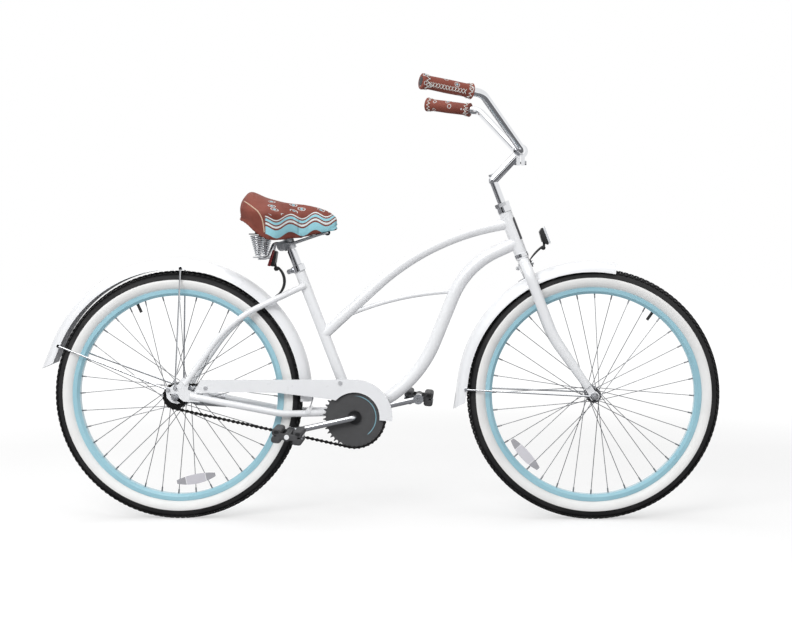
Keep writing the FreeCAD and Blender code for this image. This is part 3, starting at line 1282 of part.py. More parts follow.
# Seat clamp collar, seat post and saddle carrier
collar_t0 = seat_tube_length - collar_t
ear_back = V(seat_line[1].z, 0, -seat_line[1].x) * -1
collar = along(seat_line, collar_t0, seat_tube_length, collar_r)
ear_at = on(seat_line, collar_t0)
ear_box = Part.Face(Part.makePolygon([
    ear_at + V(0, -7, 0), ear_at + V(0, 7, 0), ear_at + V(0, 7, 0) + ear_back * (collar_ear + 5),
    ear_at + V(0, -7, 0) + ear_back * (collar_ear + 5), ear_at + V(0, -7,
                                                                   0)])).extrude(seat_line[1] * collar_t)
collar = fused([collar, ear_box]).cut(along(seat_line, collar_t0, seat_tube_length,
                                            seat_tube_r + press_fit))
gap_box = Part.Face(Part.makePolygon([
    ear_at + V(0, -1, 0), ear_at + V(0, 1, 0), ear_at + V(0, 1, 0) + ear_back * 60,
    ear_at + V(0, -1, 0) + ear_back * 60, ear_at + V(0, -1, 0)])).extrude(seat_line[1] * collar_t)
collar_bolt_at = on(seat_line, collar_t0 + collar_t / 2) + ear_back * collar_ear
collar = collar.cut(gap_box).cut(y_cyl(collar_bolt_at.x, collar_bolt_at.z, collar_bolt_r + run_fit, -10,
                                       10))
collar_bolt = fused([y_cyl(collar_bolt_at.x, collar_bolt_at.z, collar_bolt_r, -7, 13),
                     y_cyl(collar_bolt_at.x, collar_bolt_at.z, collar_bolt_r + 2.5, -12, -7)])
collar_nut = y_hex(collar_bolt_at.x, collar_bolt_at.z, 10, 7, 12)
collar_nut = collar_nut.cut(y_cyl(collar_bolt_at.x, collar_bolt_at.z, collar_bolt_r, 7, 12))
add("seat_clamp", collar, collar_bolt, collar_nut)
add("seatpost", fused([along(seat_line, post_bottom, post_neck, post_r),
                       along(seat_line, post_neck, post_top, post_neck_r)]))
carrier_x, carrier_z = saddle_clamp_point
carrier_half = rail_half - rail_r
rail_over = carrier_z + 4 + rail_r + pass_gap
socket = along(seat_line, post_neck + 4, post_top + 2, post_neck_r + 5)
carrier = fused([socket, y_cyl(carrier_x, carrier_z, saddle_clamp_r, -carrier_half, carrier_half)])
carrier = carrier.cut(along(seat_line, post_neck, post_top, post_neck_r + press_fit))
carrier = carrier.cut(y_cyl(carrier_x, carrier_z, 4 + run_fit, -carrier_half, carrier_half))
side_plate = y_ring(carrier_x, carrier_z, saddle_clamp_r + 1, 4 + run_fit, rail_half + rail_r,
                    rail_half + rail_r + 4)
carrier_nut_y = rail_half + rail_r + 4
carrier_bolt = y_cyl(carrier_x, carrier_z, 4, -carrier_nut_y - 8, carrier_nut_y + 8)
carrier_bolt = carrier_bolt.cut(along(seat_line, post_neck, post_top, post_neck_r + press_fit))
carrier_nut = y_hex(carrier_x, carrier_z, 13, carrier_nut_y, carrier_nut_y + 6)
carrier_nut = carrier_nut.cut(y_cyl(carrier_x, carrier_z, 4, carrier_nut_y, carrier_nut_y + 6))
add("saddle_clamp", carrier, both(side_plate), carrier_bolt, both(carrier_nut))
plate_z = spring_bottom_z - spring_wire_r - seat_gap
rail_low = plate_z - rail_r - 1
half_rail = [V(spring_x, spring_y, rail_low), V(spring_x + 22, spring_y - 12, rail_low),
             V(carrier_x - 22, rail_half, rail_over), V(carrier_x + 30, rail_half, rail_over),
             V(rail_nose[0] - 20, rail_nose_half,
               rail_nose[1] - 4), V(rail_nose[0], rail_nose_half, rail_nose[1])]
rail_turns = [12.0, 12.0, 40.0, 14.0, rail_nose_bend]
rail_path = half_rail + [V(p.x, -p.y, p.z) for p in half_rail[::-1]]
rail = rod(rail_path, rail_turns + rail_turns[::-1], rail_r)
seats = both(Part.makeCylinder(spring_bottom_r + 5, 3, V(spring_x, spring_y, plate_z - 3)))
add("saddle_rails", fused([rail] + seats))


# Saddle springs: one wire each, turns drawn as biarcs of a quarter turn
def spring_wire():
    count = spring_turns * 4
    points = []
    tangents = []
    rise = (spring_top_z - spring_bottom_z) / count
    grow = (spring_top_r - spring_bottom_r) / count
    for i in range(count + 1):
        a = math.radians(90 * i)
        r = spring_bottom_r + grow * i
        points.append(V(spring_x + r * math.cos(a), spring_y + r * math.sin(a), spring_bottom_z + rise * i))
        quarter = math.pi / 2
        tangents.append(V(-r * math.sin(a) * quarter + grow * math.cos(a),
                          r * math.cos(a) * quarter + grow * math.sin(a), rise).normalize())
    edges = []
    samples = []
    for p, q, s, t in zip(points, points[1:], tangents, tangents[1:]):
        chord = q - p
        both_t = s + t
        k = 2 * (1 - s.dot(t))
        lead = chord.dot(both_t)
        d = (-lead + math.sqrt(lead * lead + k * chord.dot(chord))) / k
        joint = (p + q + (s - t) * d) * 0.5
        second = (q - joint).normalize()
        for a, b, direction in ((p, joint, s), (joint, q, second * 2 * second.dot(t) - t)):
            half = b - a
            side = (half - direction * half.dot(direction)).normalize()
            radius = half.dot(half) / (2 * half.dot(side))
            centre = a + side * radius
            out = ((a + b) * 0.5 - centre).normalize()
            edges.append(Part.Arc(a, centre + out * radius, b).toShape())
            samples += [a, centre + out * radius]
    return Part.Wire(edges), samples, points[0], tangents[0]


wire, samples, wire_start, wire_dir = spring_wire()
section = Part.Wire(Part.makeCircle(spring_wire_r, wire_start, wire_dir))
spring = wire.makePipeShell([section], True, False)
spring = spring if spring.ShapeType == "Solid" else Part.Solid(spring.Shells[0])
per_turn = len(samples) // spring_turns
least = min((samples[i] - samples[j]).Length for i in range(len(samples))
            for j in range(i + per_turn // 2, len(samples))) - 2 * spring_wire_r
print("spring: least gap to itself %.2f mm" % least)
add("saddle_springs", both(spring))


# Saddle: padded cover over a curved pan
def saddle_section(x, half, crown, piping, foot, pad):
    lip = min(skirt_lip, half * 0.35)
    inset = min(skirt_inset, half * 0.2)
    in_half = half - inset - lip
    under = crown - pad
    edges = [Part.Arc(V(x, -half, piping), V(x, 0, crown), V(x, half, piping)).toShape(),
             Part.makeLine(V(x, half, piping), V(x, half - inset, foot)),
             Part.makeLine(V(x, half - inset, foot), V(x, in_half, foot + 1)),
             Part.Arc(V(x, in_half, foot + 1), V(x, 0, under), V(x, -in_half, foot + 1)).toShape(),
             Part.makeLine(V(x, -in_half, foot + 1), V(x, -half + inset, foot)),
             Part.makeLine(V(x, -half + inset, foot), V(x, -half, piping))]
    return Part.Wire(edges)


def pan_section(x, half, crown, piping, foot, pad):
    lip = min(skirt_lip, half * 0.35)
    inset = min(skirt_inset, half * 0.2)
    in_half = half - inset - lip - pass_gap
    under = crown - pad - pass_gap
    low_half = in_half - pan_t
    edges = [Part.Arc(V(x, -in_half, foot + 1), V(x, 0, under), V(x, in_half, foot + 1)).toShape(),
             Part.makeLine(V(x, in_half, foot + 1), V(x, low_half, foot + 1)),
             Part.Arc(V(x, low_half, foot + 1), V(x, 0, under - pan_t),
                      V(x, -low_half, foot + 1)).toShape(),
             Part.makeLine(V(x, -low_half, foot + 1), V(x, -in_half, foot + 1))]
    return Part.Wire(edges)


cushion = Part.makeLoft([saddle_section(*s) for s in saddle_stations], True, False)
pan = Part.makeLoft([pan_section(*s) for s in saddle_stations], True, False)
pan_room = Part.makeBox(saddle_stations[-2][0] - saddle_stations[1][0], 400, 400,
                        V(saddle_stations[1][0], -200, rail_nose[1] - 100))
pan = pan.common(pan_room)
add("saddle_cushion", cushion)


def under_pan(x, half, crown, piping, foot, pad):
    """Outline of the hollow below the top of the pan, down past the rails."""
    top = pan_section(x, half, crown, piping, foot, pad).Edges[0]
    a = top.valueAt(top.FirstParameter)
    b = top.valueAt(top.LastParameter)
    floor = rail_nose[1] - 40
    return Part.Wire([top, Part.makeLine(b, V(x, b.y, floor)),
                      Part.makeLine(V(x, b.y, floor), V(x, a.y, floor)),
                      Part.makeLine(V(x, a.y, floor), a)])


hollow = Part.makeLoft([under_pan(*s) for s in saddle_stations], True, False)
boss_z = spring_top_z + spring_wire_r + seat_gap
boss_stem = Part.makeCylinder(spring_boss_r, 80, V(spring_x, spring_y, boss_z)).common(hollow)
boss_disc = Part.makeCylinder(spring_top_r + spring_wire_r + 1, 3, V(spring_x, spring_y, boss_z))
lug_r = rail_r + nose_lug
lug = y_cyl(rail_nose[0], rail_nose[1], lug_r, -nose_lug_half, nose_lug_half)
lug_web = Part.makeBox(lug_r * 1.4, 2 * nose_lug_half, 60,
                       V(rail_nose[0] - lug_r * 0.7, -nose_lug_half, rail_nose[1])).common(hollow)
pan = fused([pan] + both(boss_stem) + both(boss_disc) + [lug, lug_web])
add("saddle_pan", pan.cut(y_cyl(rail_nose[0], rail_nose[1], rail_r + run_fit, -nose_lug_half,
                                nose_lug_half)))

# Reflectors on their arms
front_lens = strip([front_lamp[2], front_lamp[3]], lens_t, -front_lamp_half, front_lamp_half)
front_house = y_plate(front_lamp, -front_lamp_half, front_lamp_half).cut(front_lens)
lamp_off = head_forward * (crown_r + arm_t / 2 + seat_gap)
lamp_points = [front_lamp_foot]
for t in front_lamp_arm_t:
    lamp_points.append(((on(head_line, t) + lamp_off).x, (on(head_line, t) + lamp_off).z))
bolt_room = along(bolt_line, 0, 2 * crown_grip + 8, pinch_bolt_r + run_fit)
front_arm = strip(lamp_points, arm_t, -arm_half, arm_half).cut(front_house).cut(bolt_room)
add("front_reflector", max(front_house.Solids, key=lambda s: s.Volume), front_arm.Solids)
add("front_reflector_lens", front_lens)
rear_lens = strip([rear_lamp[0], rear_lamp[1]], lens_t, -rear_lamp_half, rear_lamp_half)
rear_house = y_plate(rear_lamp, -rear_lamp_half, rear_lamp_half).cut(rear_lens)
rear_arm = strip(rear_lamp_arm, arm_t, -arm_half, arm_half).cut(rear_house)
add("rear_reflector", max(rear_house.Solids, key=lambda s: s.Volume), rear_arm.Solids)
add("rear_reflector_lens", rear_lens)

# Rear mudguard fixings: a spacer on the seat stay bridge and a tab on the chain stay bridge
bridge_at = V(stay_bridge[0], 0, stay_bridge[1])
outward = (bridge_at - rear_centre).normalize()
spacer = Part.makeCylinder(5, 40, rear_centre + outward * (rear_fender["r"] - 5), outward)
spacer = spacer.cut(rear_block).cut(y_cyl(bridge_at.x, bridge_at.z, stay_bridge_r, -40, 40))
hardware.append(min(spacer.Solids, key=lambda s: (s.CenterOfMass - rear_centre).Length))
tab_r = rear_fender["r"] + arm_t / 2 + seat_gap
fender_tab = strip([polar(tab_r, 2, rear_centre.x, rear_centre.z),
                    polar(tab_r, -2, rear_centre.x, rear_centre.z),
                    (chain_bridge[0], chain_bridge[1])], arm_t, -arm_half, arm_half)
fender_tab = fender_tab.cut(rear_block).cut(y_cyl(chain_bridge[0], chain_bridge[1], chain_bridge_r, -40,
                                                  40))
hardware.append(max(fender_tab.Solids, key=lambda s: s.Volume))

badge = ring_along(head_line, badge_span[0], badge_span[1], head_r + badge_t, head_r)
badge_box = Part.makeBox(60, 2 * badge_half, 200, V(on(head_line, 60).x, -badge_half, head_bottom_z))
badge_box = badge_box.common(badge)
hardware.append(max(badge_box.Solids, key=lambda s: s.CenterOfMass.x))
add("frame_hardware", hardware)

# Origin at the middle of the footprint
x_low = nodes["rear_fender"][0].optimalBoundingBox(False, False).XMin
x_high = nodes["front_tyre"][0].optimalBoundingBox(False, False).XMax
shift = V(-(x_low + x_high) / 2, 0, 0)
for name, pieces in nodes.items():
    placed = [s.translated(shift) for s in pieces]
    shape = placed[0] if len(placed) == 1 else Part.makeCompound(placed)
    shape.exportStep("parts/" + name + ".step")
print(len(nodes), "nodes; shift", round(shift.x, 3), "bb", round(bb_x, 2), round(bb_z, 2))
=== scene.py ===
# %% [markdown]
# # Beach cruiser bicycle
# The imported model already holds every rigid piece at its real size and place. Here it gets its looks.
# Spokes, hubs and bearings keep their solids and are painted. Tubes, mudguards and rims are rounded again
# from their solids. Tyres, chain, grips, saddle, pedals and reflectors carry detail that a plain solid
# lacks, so they are modelled again as finer meshes on the same bodies. The saddle springs are modelled again
# too, but hang on no body.

# %% The imported model
import json
import math
import bmesh
import bpy
import numpy as np
from mathutils import Matrix, Vector
from mathutils.bvhtree import BVHTree

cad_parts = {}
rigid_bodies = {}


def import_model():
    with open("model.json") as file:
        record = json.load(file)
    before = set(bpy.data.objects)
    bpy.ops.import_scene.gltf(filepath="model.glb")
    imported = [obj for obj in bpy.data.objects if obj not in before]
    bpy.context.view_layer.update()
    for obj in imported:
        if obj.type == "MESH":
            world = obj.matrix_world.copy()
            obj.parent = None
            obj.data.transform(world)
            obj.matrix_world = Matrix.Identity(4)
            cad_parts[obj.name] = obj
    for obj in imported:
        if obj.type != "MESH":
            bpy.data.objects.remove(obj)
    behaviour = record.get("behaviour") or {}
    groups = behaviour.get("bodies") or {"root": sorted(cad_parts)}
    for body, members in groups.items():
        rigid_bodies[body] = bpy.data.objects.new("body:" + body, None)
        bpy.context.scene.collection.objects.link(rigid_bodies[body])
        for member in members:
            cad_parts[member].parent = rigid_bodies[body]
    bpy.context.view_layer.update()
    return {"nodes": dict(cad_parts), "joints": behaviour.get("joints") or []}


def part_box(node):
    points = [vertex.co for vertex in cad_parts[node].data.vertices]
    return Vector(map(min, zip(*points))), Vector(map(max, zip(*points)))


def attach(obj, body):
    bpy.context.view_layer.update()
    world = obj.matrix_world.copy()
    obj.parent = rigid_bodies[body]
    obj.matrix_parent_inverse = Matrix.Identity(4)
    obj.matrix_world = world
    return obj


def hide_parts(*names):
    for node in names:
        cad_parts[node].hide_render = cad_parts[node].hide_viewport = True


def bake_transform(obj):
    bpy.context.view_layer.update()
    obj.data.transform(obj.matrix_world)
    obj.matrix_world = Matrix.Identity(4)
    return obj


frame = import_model()
nodes = frame["nodes"]
joints = {joint["name"]: joint for joint in frame["joints"]}
scene = bpy.context.scene
MM = 0.001


def joint_place(name):
    return Vector(joints[name]["pos_m"])


front_axle = joint_place("front_wheel_spin")
rear_axle = joint_place("rear_wheel_spin")
crank_axle = joint_place("crank_spin")
print("loaded", len(nodes), "nodes, wheelbase", round(front_axle.x - rear_axle.x, 4))

# %% [markdown]
# ## Camera
# The camera stands about four metres off the drive side, at saddle height, and looks slightly down. Its
# place and lens were worked out from the two wheel circles, which are the best known sizes on a bicycle. A
# long lens keeps the far grip and the far pedal close to their true size.

# %% Camera
image_width = 792
focal_pixels = 1476.6
sensor_width = 36.0
camera_place = Vector((0.2199, -3.9382, 0.7675))
camera_yaw = math.radians(2.45)
camera_pitch = math.radians(3.2)
camera_roll = math.radians(-0.36)


def camera_turn():
    """Rotation whose columns are the camera's right, up and backward directions."""
    ahead = Vector((-math.sin(camera_yaw) * math.cos(camera_pitch),
                    math.cos(camera_yaw) * math.cos(camera_pitch), -math.sin(camera_pitch)))
    right = Vector((math.cos(camera_yaw), math.sin(camera_yaw), 0))
    up = right.cross(ahead)
    tilted_right = right * math.cos(camera_roll) + up * math.sin(camera_roll)
    tilted_up = up * math.cos(camera_roll) - right * math.sin(camera_roll)
    return Matrix((tilted_right, tilted_up, -ahead)).transposed()


def linked(name, data):
    """A new object in the scene that holds this data."""
    made = bpy.data.objects.new(name, data)
    scene.collection.objects.link(made)
    return made


lens = bpy.data.cameras.new("camera")
lens.sensor_width = sensor_width
lens.lens = focal_pixels * sensor_width / image_width
camera = linked("camera", lens)
camera.matrix_world = Matrix.Translation(camera_place) @ camera_turn().to_4x4()
scene.camera = camera
scene.view_settings.view_transform = "Standard"
print("camera lens", round(lens.lens, 2), "mm")

# %% [markdown]
# ## Writing node trees as sums
# Shader and geometry trees are easier to read as formulas than as lists of links. One small class holds a
# socket and turns + - * / into Math nodes. A graph adds any other node from its type, its settings and its
# inputs.


# %% Node graphs
class Value:
    """One output of a node. Arithmetic on it adds Math nodes to the same tree."""

    def __init__(self, graph, socket):
        self.graph = graph
        self.socket = socket

    def maths(self, operation, first, second=0.0):
        return self.graph.node("ShaderNodeMath", {"operation": operation}, {0: first, 1: second})

    def __add__(self, other):
        return self.maths("ADD", self, other)

    def __sub__(self, other):
        return self.maths("SUBTRACT", self, other)

    def __rsub__(self, other):
        return self.maths("SUBTRACT", other, self)

    def __mul__(self, other):
        return self.maths("MULTIPLY", self, other)

    def __truediv__(self, other):
        return self.maths("DIVIDE", self, other)

    def __rtruediv__(self, other):
        return self.maths("DIVIDE", other, self)

    def __lt__(self, other):
        return self.maths("LESS_THAN", self, other)

    def __gt__(self, other):
        return self.maths("GREATER_THAN", self, other)

    def __abs__(self):
        return self.maths("ABSOLUTE", self)

    __radd__ = __add__
    __rmul__ = __mul__

    def call(self, operation, other=0.0):
        return self.maths(operation, self, other)

    def step(self, low, high):
        """0 below low, 1 above high, smooth between."""
        return self.graph.node("ShaderNodeMapRange", {"interpolation_type": "SMOOTHSTEP"},
                               {0: self, 1: low, 2: high})

    def also(self, output):
        """Another output of the same node."""
        return Value(self.graph, self.socket.node.outputs[output])


# %% Graphs
class Graph:
    def __init__(self, tree):
        self.tree = tree

    def feed(self, socket, value):
        if isinstance(value, list):
            for one in value:
                self.feed(socket, one)
        elif isinstance(value, Value):
            self.tree.links.new(value.socket, socket)
        else:
            socket.default_value = value

    def node(self, kind, settings=None, inputs=None, output=0):
        made = self.tree.nodes.new(kind)
        for name, value in (settings or {}).items():
            setattr(made, name, value)
        for key, value in (inputs or {}).items():
            self.feed(made.inputs[key], value)
        return Value(self, made.outputs[output])


# %% Material graphs
class Finish(Graph):
    """A material with one Principled shader, whose plain sockets are given by name."""

    def __init__(self, name, plain):
        self.material = bpy.data.materials.new(name)
        self.material.use_nodes = True
        super().__init__(self.material.node_tree)
        self.shader = self.tree.nodes["Principled BSDF"]
        for key, value in plain.items():
            self.set(key, value)

    def set(self, key, value):
        self.feed(self.shader.inputs[key], value)

    def place(self):
        return self.node("ShaderNodeTexCoord", output="Object")

    def xyz(self, vector):
        x = self.node("ShaderNodeSeparateXYZ", None, {0: vector})
        return x, x.also(1), x.also(2)

    def about(self, place, axle):
        """Distance and angle of a place round an axle that lies along Y."""
        x, y, z = self.xyz(place)
        across, above = x - axle.x, z - axle.z
        return (across * across + above * above).call("SQRT"), above.call("ARCTAN2", across)

    def noise(self, vector, scale, detail=3.0):
        return self.node("ShaderNodeTexNoise", None, {"Vector": vector, "Scale": scale, "Detail": detail})

    def cells(self, vector, scale, randomness=1.0, dimensions="3D"):
        return self.node("ShaderNodeTexVoronoi", {"voronoi_dimensions": dimensions},
                         {"Vector": vector, "Scale": scale, "Randomness": randomness})

    def tint(self, factor, low, high):
        return self.node("ShaderNodeMix", {"data_type": "RGBA"}, {0: factor, 6: low, 7: high}, 2)

    def dent(self, height, strength, distance):
        self.set("Normal", self.node("ShaderNodeBump", None,
                                     {"Strength": strength, "Distance": distance, "Height": height}))


# %% [markdown]
# ## Paint, plating and rubber
# Enamel is a colour under a clear coat. Sprayed paint is never quite flat, so one noise dents it a little
# and a broader one shifts its tone by a percent or two. Plating is a metal with a low roughness that
# wanders a little. A flat colour would be quicker, but under soft light it looks like a sticker.


# %% Paint and plating
def rgb(red, green, blue):
    return (red, green, blue, 1.0)


def enamel(name, colour, shade):
    """Sprayed gloss paint: shade is the same colour where the coat lies a little thinner."""
    f = Finish(name, {"Coat Weight": 0.6, "Coat Roughness": 0.08, "Specular IOR Level": 0.5})
    p = f.place()
    f.set("Base Color", f.tint(f.noise(p, 7.0, 4.0).step(0.3, 0.7), shade, colour))
    f.set("Roughness", 0.24 + 0.1 * f.noise(p, 40.0))
    f.dent(f.noise(p, 90.0, 1.0), 0.02, 0.0008)
    return f.material


def plated(name, colour, dull, roughness, spread):
    """Bright or satin metal whose polish wanders a little."""
    f = Finish(name, {"Metallic": 1.0})
    p = f.place()
    broad = f.noise(p, 30.0, 4.0)
    f.set("Base Color", f.tint(broad, dull, colour))
    f.set("Roughness", roughness + spread * f.noise(p, 160.0, 2.0))
    return f.material


white_enamel = enamel("white_enamel", rgb(0.86, 0.87, 0.885), rgb(0.83, 0.84, 0.86))
blue_enamel = enamel("blue_enamel", rgb(0.36, 0.62, 0.715), rgb(0.325, 0.575, 0.67))
chrome_bright = rgb(0.80, 0.81, 0.83)
chrome_dull = rgb(0.74, 0.75, 0.77)
chrome = plated("chrome", chrome_bright, chrome_dull, 0.06, 0.05)
zinc = plated("zinc", rgb(0.66, 0.67, 0.69), rgb(0.54, 0.55, 0.57), 0.32, 0.14)
spoke_steel = plated("spoke_steel", rgb(0.36, 0.365, 0.38), rgb(0.28, 0.285, 0.30), 0.34, 0.1)
dark_steel = plated("dark_steel", rgb(0.05, 0.048, 0.047), rgb(0.03, 0.03, 0.03), 0.3, 0.2)


# %% Plastic, rubber and lenses
def moulded(name, colour, pale, roughness):
    """Moulded plastic or rubber with a fine grain and a trace of dust."""
    f = Finish(name, {"Specular IOR Level": 0.4})
    p = f.place()
    f.set("Base Color", f.tint(f.noise(p, 25.0, 5.0).step(0.45, 0.8), colour, pale))
    f.set("Roughness", roughness + 0.15 * f.noise(p, 90.0))
    f.dent(f.cells(p, 1400.0), 0.12, 0.0003)
    return f.material


black_plastic = moulded("black_plastic", rgb(0.012, 0.012, 0.013), rgb(0.022, 0.022, 0.023), 0.38)
resin = moulded("resin", rgb(0.055, 0.055, 0.058), rgb(0.085, 0.085, 0.088), 0.42)
tube_rubber = moulded("tube_rubber", rgb(0.018, 0.018, 0.018), rgb(0.03, 0.03, 0.03), 0.6)


def prisms(name, colour, deep):
    """A close grid of small prisms under a gloss face: the finish and its colour."""
    f = Finish(name, {"Coat Weight": 0.8, "Coat Roughness": 0.05})
    p = f.place()
    grid = f.cells(p, 420.0, 0.0)
    f.set("Roughness", 0.12 + 0.2 * grid)
    f.dent(grid, 0.5, 0.0008)
    return f, f.tint(grid.step(0.1, 0.75), colour, deep)


def prism_lens(name, colour, deep):
    """Reflector lens that is one field of prisms."""
    f, shade = prisms(name, colour, deep)
    f.set("Base Color", shade)
    return f.material


clear_lens = prism_lens("clear_lens", rgb(0.80, 0.81, 0.83), rgb(0.52, 0.54, 0.57))
red_lens = prism_lens("red_lens", rgb(0.30, 0.012, 0.012), rgb(0.12, 0.004, 0.005))
print("made", len(bpy.data.materials), "materials")

# %% [markdown]
# ## Painting the carried-over pieces
# A solid whose shape is right keeps its mesh, and only its material slots change. The list below goes by
# finish, as a workshop would sort the parts on a bench. A new mesh only pays where a solid lacks detail.


# %% Finishes of the solid pieces
def dress(material, *names):
    for name in names:
        mesh = nodes[name].data
        if not mesh.materials:
            mesh.materials.append(material)
        for slot in nodes[name].material_slots:
            slot.material = material


dress(white_enamel, "head_tube", "top_tube", "down_tube", "brace_tube", "seat_tube", "bb_shell",
      "seat_stays", "chain_stays", "dropouts", "rear_fender", "front_fender", "chain_guard", "fork")
dress(blue_enamel, "front_rim", "rear_rim")
dress(chrome, "headset_cups", "headset_locknut", "stem", "handlebar", "seatpost", "bb_cups",
      "saddle_springs", "seat_clamp", "front_hub", "rear_hub", "rear_fender_stays", "front_fender_stays")
dress(zinc, "frame_bearings", "rear_axle", "front_axle", "rear_axle_nuts", "front_axle_nuts", "fork_bolts",
      "bb_cones", "pedal_spindles", "saddle_clamp", "brake_arm", "saddle_rails")
dress(spoke_steel, "front_spokes", "rear_spokes")
dress(dark_steel, "rear_sprocket", "chain")
dress(tube_rubber, "front_inner_tube", "rear_inner_tube")
dress(black_plastic, "saddle_pan", "front_reflector", "rear_reflector")
dress(clear_lens, "front_reflector_lens")
dress(red_lens, "rear_reflector_lens")


# %% Frame fittings and crank
def hardware_finish(plate_from):
    """Small frame fittings: zinc screws and tabs, and the bare dark plate on the head tube."""
    f = Finish("frame_hardware", {})
    p = f.place()
    plate = f.xyz(p)[0] > plate_from
    tone = f.tint(f.noise(p, 60.0), rgb(0.80, 0.81, 0.83), rgb(0.70, 0.71, 0.73))
    f.set("Base Color", f.tint(plate, tone, rgb(0.06, 0.06, 0.065)))
    f.set("Metallic", 1.0 - 0.5 * plate)
    f.set("Roughness", 0.42 + 0.12 * f.noise(p, 140.0))
    return f.material


dress(hardware_finish(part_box("head_tube")[0].x), "frame_hardware")


ring_seat_inner = -38.0 * MM
ring_seat_outer = -52.0 * MM
ring_seat_edge = 0.2 * MM


def crank_finish():
    """Bright plating, with painted shade on the seat where the chainring is clamped."""
    f = Finish("crank_plating", {"Metallic": 1.0})
    p = f.place()
    y = f.xyz(p)[1]
    past_outer = y.step(ring_seat_outer, ring_seat_outer + ring_seat_edge)
    past_inner = y.step(ring_seat_inner, ring_seat_inner + ring_seat_edge)
    # The seat band is painted shade: dark and rougher where the chainring's hub shades the crank.
    seat_shade = past_outer * (1.0 - past_inner)
    plate = f.tint(f.noise(p, 30.0, 4.0), chrome_dull, chrome_bright)
    f.set("Base Color", f.tint(seat_shade, plate, rgb(0.05, 0.05, 0.052)))
    f.set("Roughness", 0.06 + 0.05 * f.noise(p, 160.0, 2.0) + 0.3 * seat_shade)
    return f.material


dress(crank_finish(), "crank")
print("dressed the solid pieces in", len(bpy.data.materials), "finishes")

# %% [markdown]
# ## Wheel reflectors
# Each wheel carries one clear reflector between its spokes. Its middle is a field of small prisms, and both
# ends are plain pockets painted darker as painted shade, behind a bar painted pale as a painted highlight.
# The mask is the distance from its middle along its length. Modelled prisms would cost thousands of faces,
# so a grid of cells in the material stands for them.

# %% Wheel reflector finish
pocket_from = 27.0 * MM
# Half width of the bar that carries the painted highlight.
highlight_bar_half = 1.1 * MM
pocket_edge = 0.5 * MM


def wheel_lens(node, axle):
    low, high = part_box(node)
    middle = (low + high) / 2
    out = Vector((middle.x - axle.x, 0, middle.z - axle.z)).normalized()
    f, colour = prisms(node + "_lens", rgb(0.80, 0.79, 0.83), rgb(0.60, 0.59, 0.64))
    x, y, z = f.xyz(f.place())
    along = abs((z - middle.z) * out.x - (x - middle.x) * out.z)
    # Painted shade darkens both end pockets, and a painted highlight lightens the thin bar at their edge.
    pocket_shade = along.step(pocket_from - pocket_edge, pocket_from + pocket_edge)
    bar = 1.0 - abs(along - pocket_from).step(highlight_bar_half * 0.8, highlight_bar_half)
    colour = f.tint(pocket_shade * 0.7, colour, rgb(0.30, 0.30, 0.32))
    f.set("Base Color", f.tint(bar, colour, rgb(0.86, 0.86, 0.88)))
    return f.material


for node, axle in (("front_wheel_reflector", front_axle), ("rear_wheel_reflector", rear_axle)):
    dress(wheel_lens(node, axle), node)
    print(node, "dressed")

# %% [markdown]
# ## Chainring
# The chainring is a solid dark disc with one thin pale-blue arc as its only ornament. The arc is drawn in
# the material: its mask is the distance from the crank axle, cut to a span of angles. A thin raised ring
# would catch light along its edges, which paint does not.


# %% Chainring finish
stripe_radius = 57.0 * MM
stripe_width = 2.6 * MM
stripe_from = math.radians(-56)
stripe_to = math.radians(96)


def ring_finish(centre):
    f = Finish("chainring_black", {"Specular IOR Level": 0.4})
    p = f.place()
    distance, angle = f.about(p, centre)
    span = angle.step(stripe_from, stripe_from + 0.15) * (1.0 - angle.step(stripe_to - 0.6, stripe_to))
    stripe = (1.0 - abs(distance - stripe_radius).step(stripe_width * 0.3, stripe_width * 0.5)) * span
    ground = f.tint(f.noise(p, 60.0, 5.0), rgb(0.062, 0.062, 0.064), rgb(0.082, 0.082, 0.085))
    f.set("Base Color", f.tint(stripe * 0.8, ground, rgb(0.25, 0.52, 0.62)))
    f.set("Roughness", 0.45 + 0.12 * f.noise(p, 150.0))
    f.dent((distance * 2400.0).call("SINE"), 0.04, 0.0002)
    return f.material


dress(ring_finish(crank_axle), "chainring")
print("chainring arc", round(math.degrees(stripe_to - stripe_from)), "degrees long")

# %% [markdown]
# ## Making pieces
# Every new piece is a plain mesh whose place is in its vertices, so its object stays at the origin. One
# helper smooths it, keeps edges above 35 degrees crisp, and hangs it on its body.


# %% Helpers for new pieces
crisp_edge = math.radians(35)


def keep(name, mesh, body, replaced=(), materials=()):
    """Put a finished mesh in the scene as a named piece of a body."""
    for material in materials:
        mesh.materials.append(material)
    mesh.shade_smooth()
    mesh.set_sharp_from_angle(angle=crisp_edge)
    piece = linked(name, mesh)
    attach(piece, body)
    if replaced:
        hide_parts(*replaced)
    return piece


def plain_mesh(name, bm):
    bmesh.ops.remove_doubles(bm, verts=bm.verts, dist=1e-6)
    bmesh.ops.recalc_face_normals(bm, faces=bm.faces)
    mesh = bpy.data.meshes.new(name)
    bm.to_mesh(mesh)
    bm.free()
    return mesh


# %% Rings and lathed shapes
def skin(bm, rings, closed=False, material=0):
    """Join rings of points, all of one length, into a tube."""
    rows = [[bm.verts.new(p) for p in ring] for ring in rings]
    pairs = list(zip(rows, rows[1:])) + ([(rows[-1], rows[0])] if closed else [])
    for near, far in pairs:
        count = len(near)
        for i in range(count):
            face = bm.faces.new((near[i], near[(i + 1) % count], far[(i + 1) % count], far[i]))
            face.material_index = material
    if not closed:
        for row in (rows[0], rows[-1]):
            bm.faces.new(row).material_index = material


def frame_about(axis):
    """Two directions square to an axis and to each other."""
    axis = Vector(axis).normalized()
    side = axis.cross(Vector((0, 0, 1)))
    if side.length < 0.1:
        side = Vector((1, 0, 0))
    side.normalize()
    return side, axis.cross(side).normalized()


def in_mm(pairs):
    return [(first * MM, second * MM) for first, second in pairs]


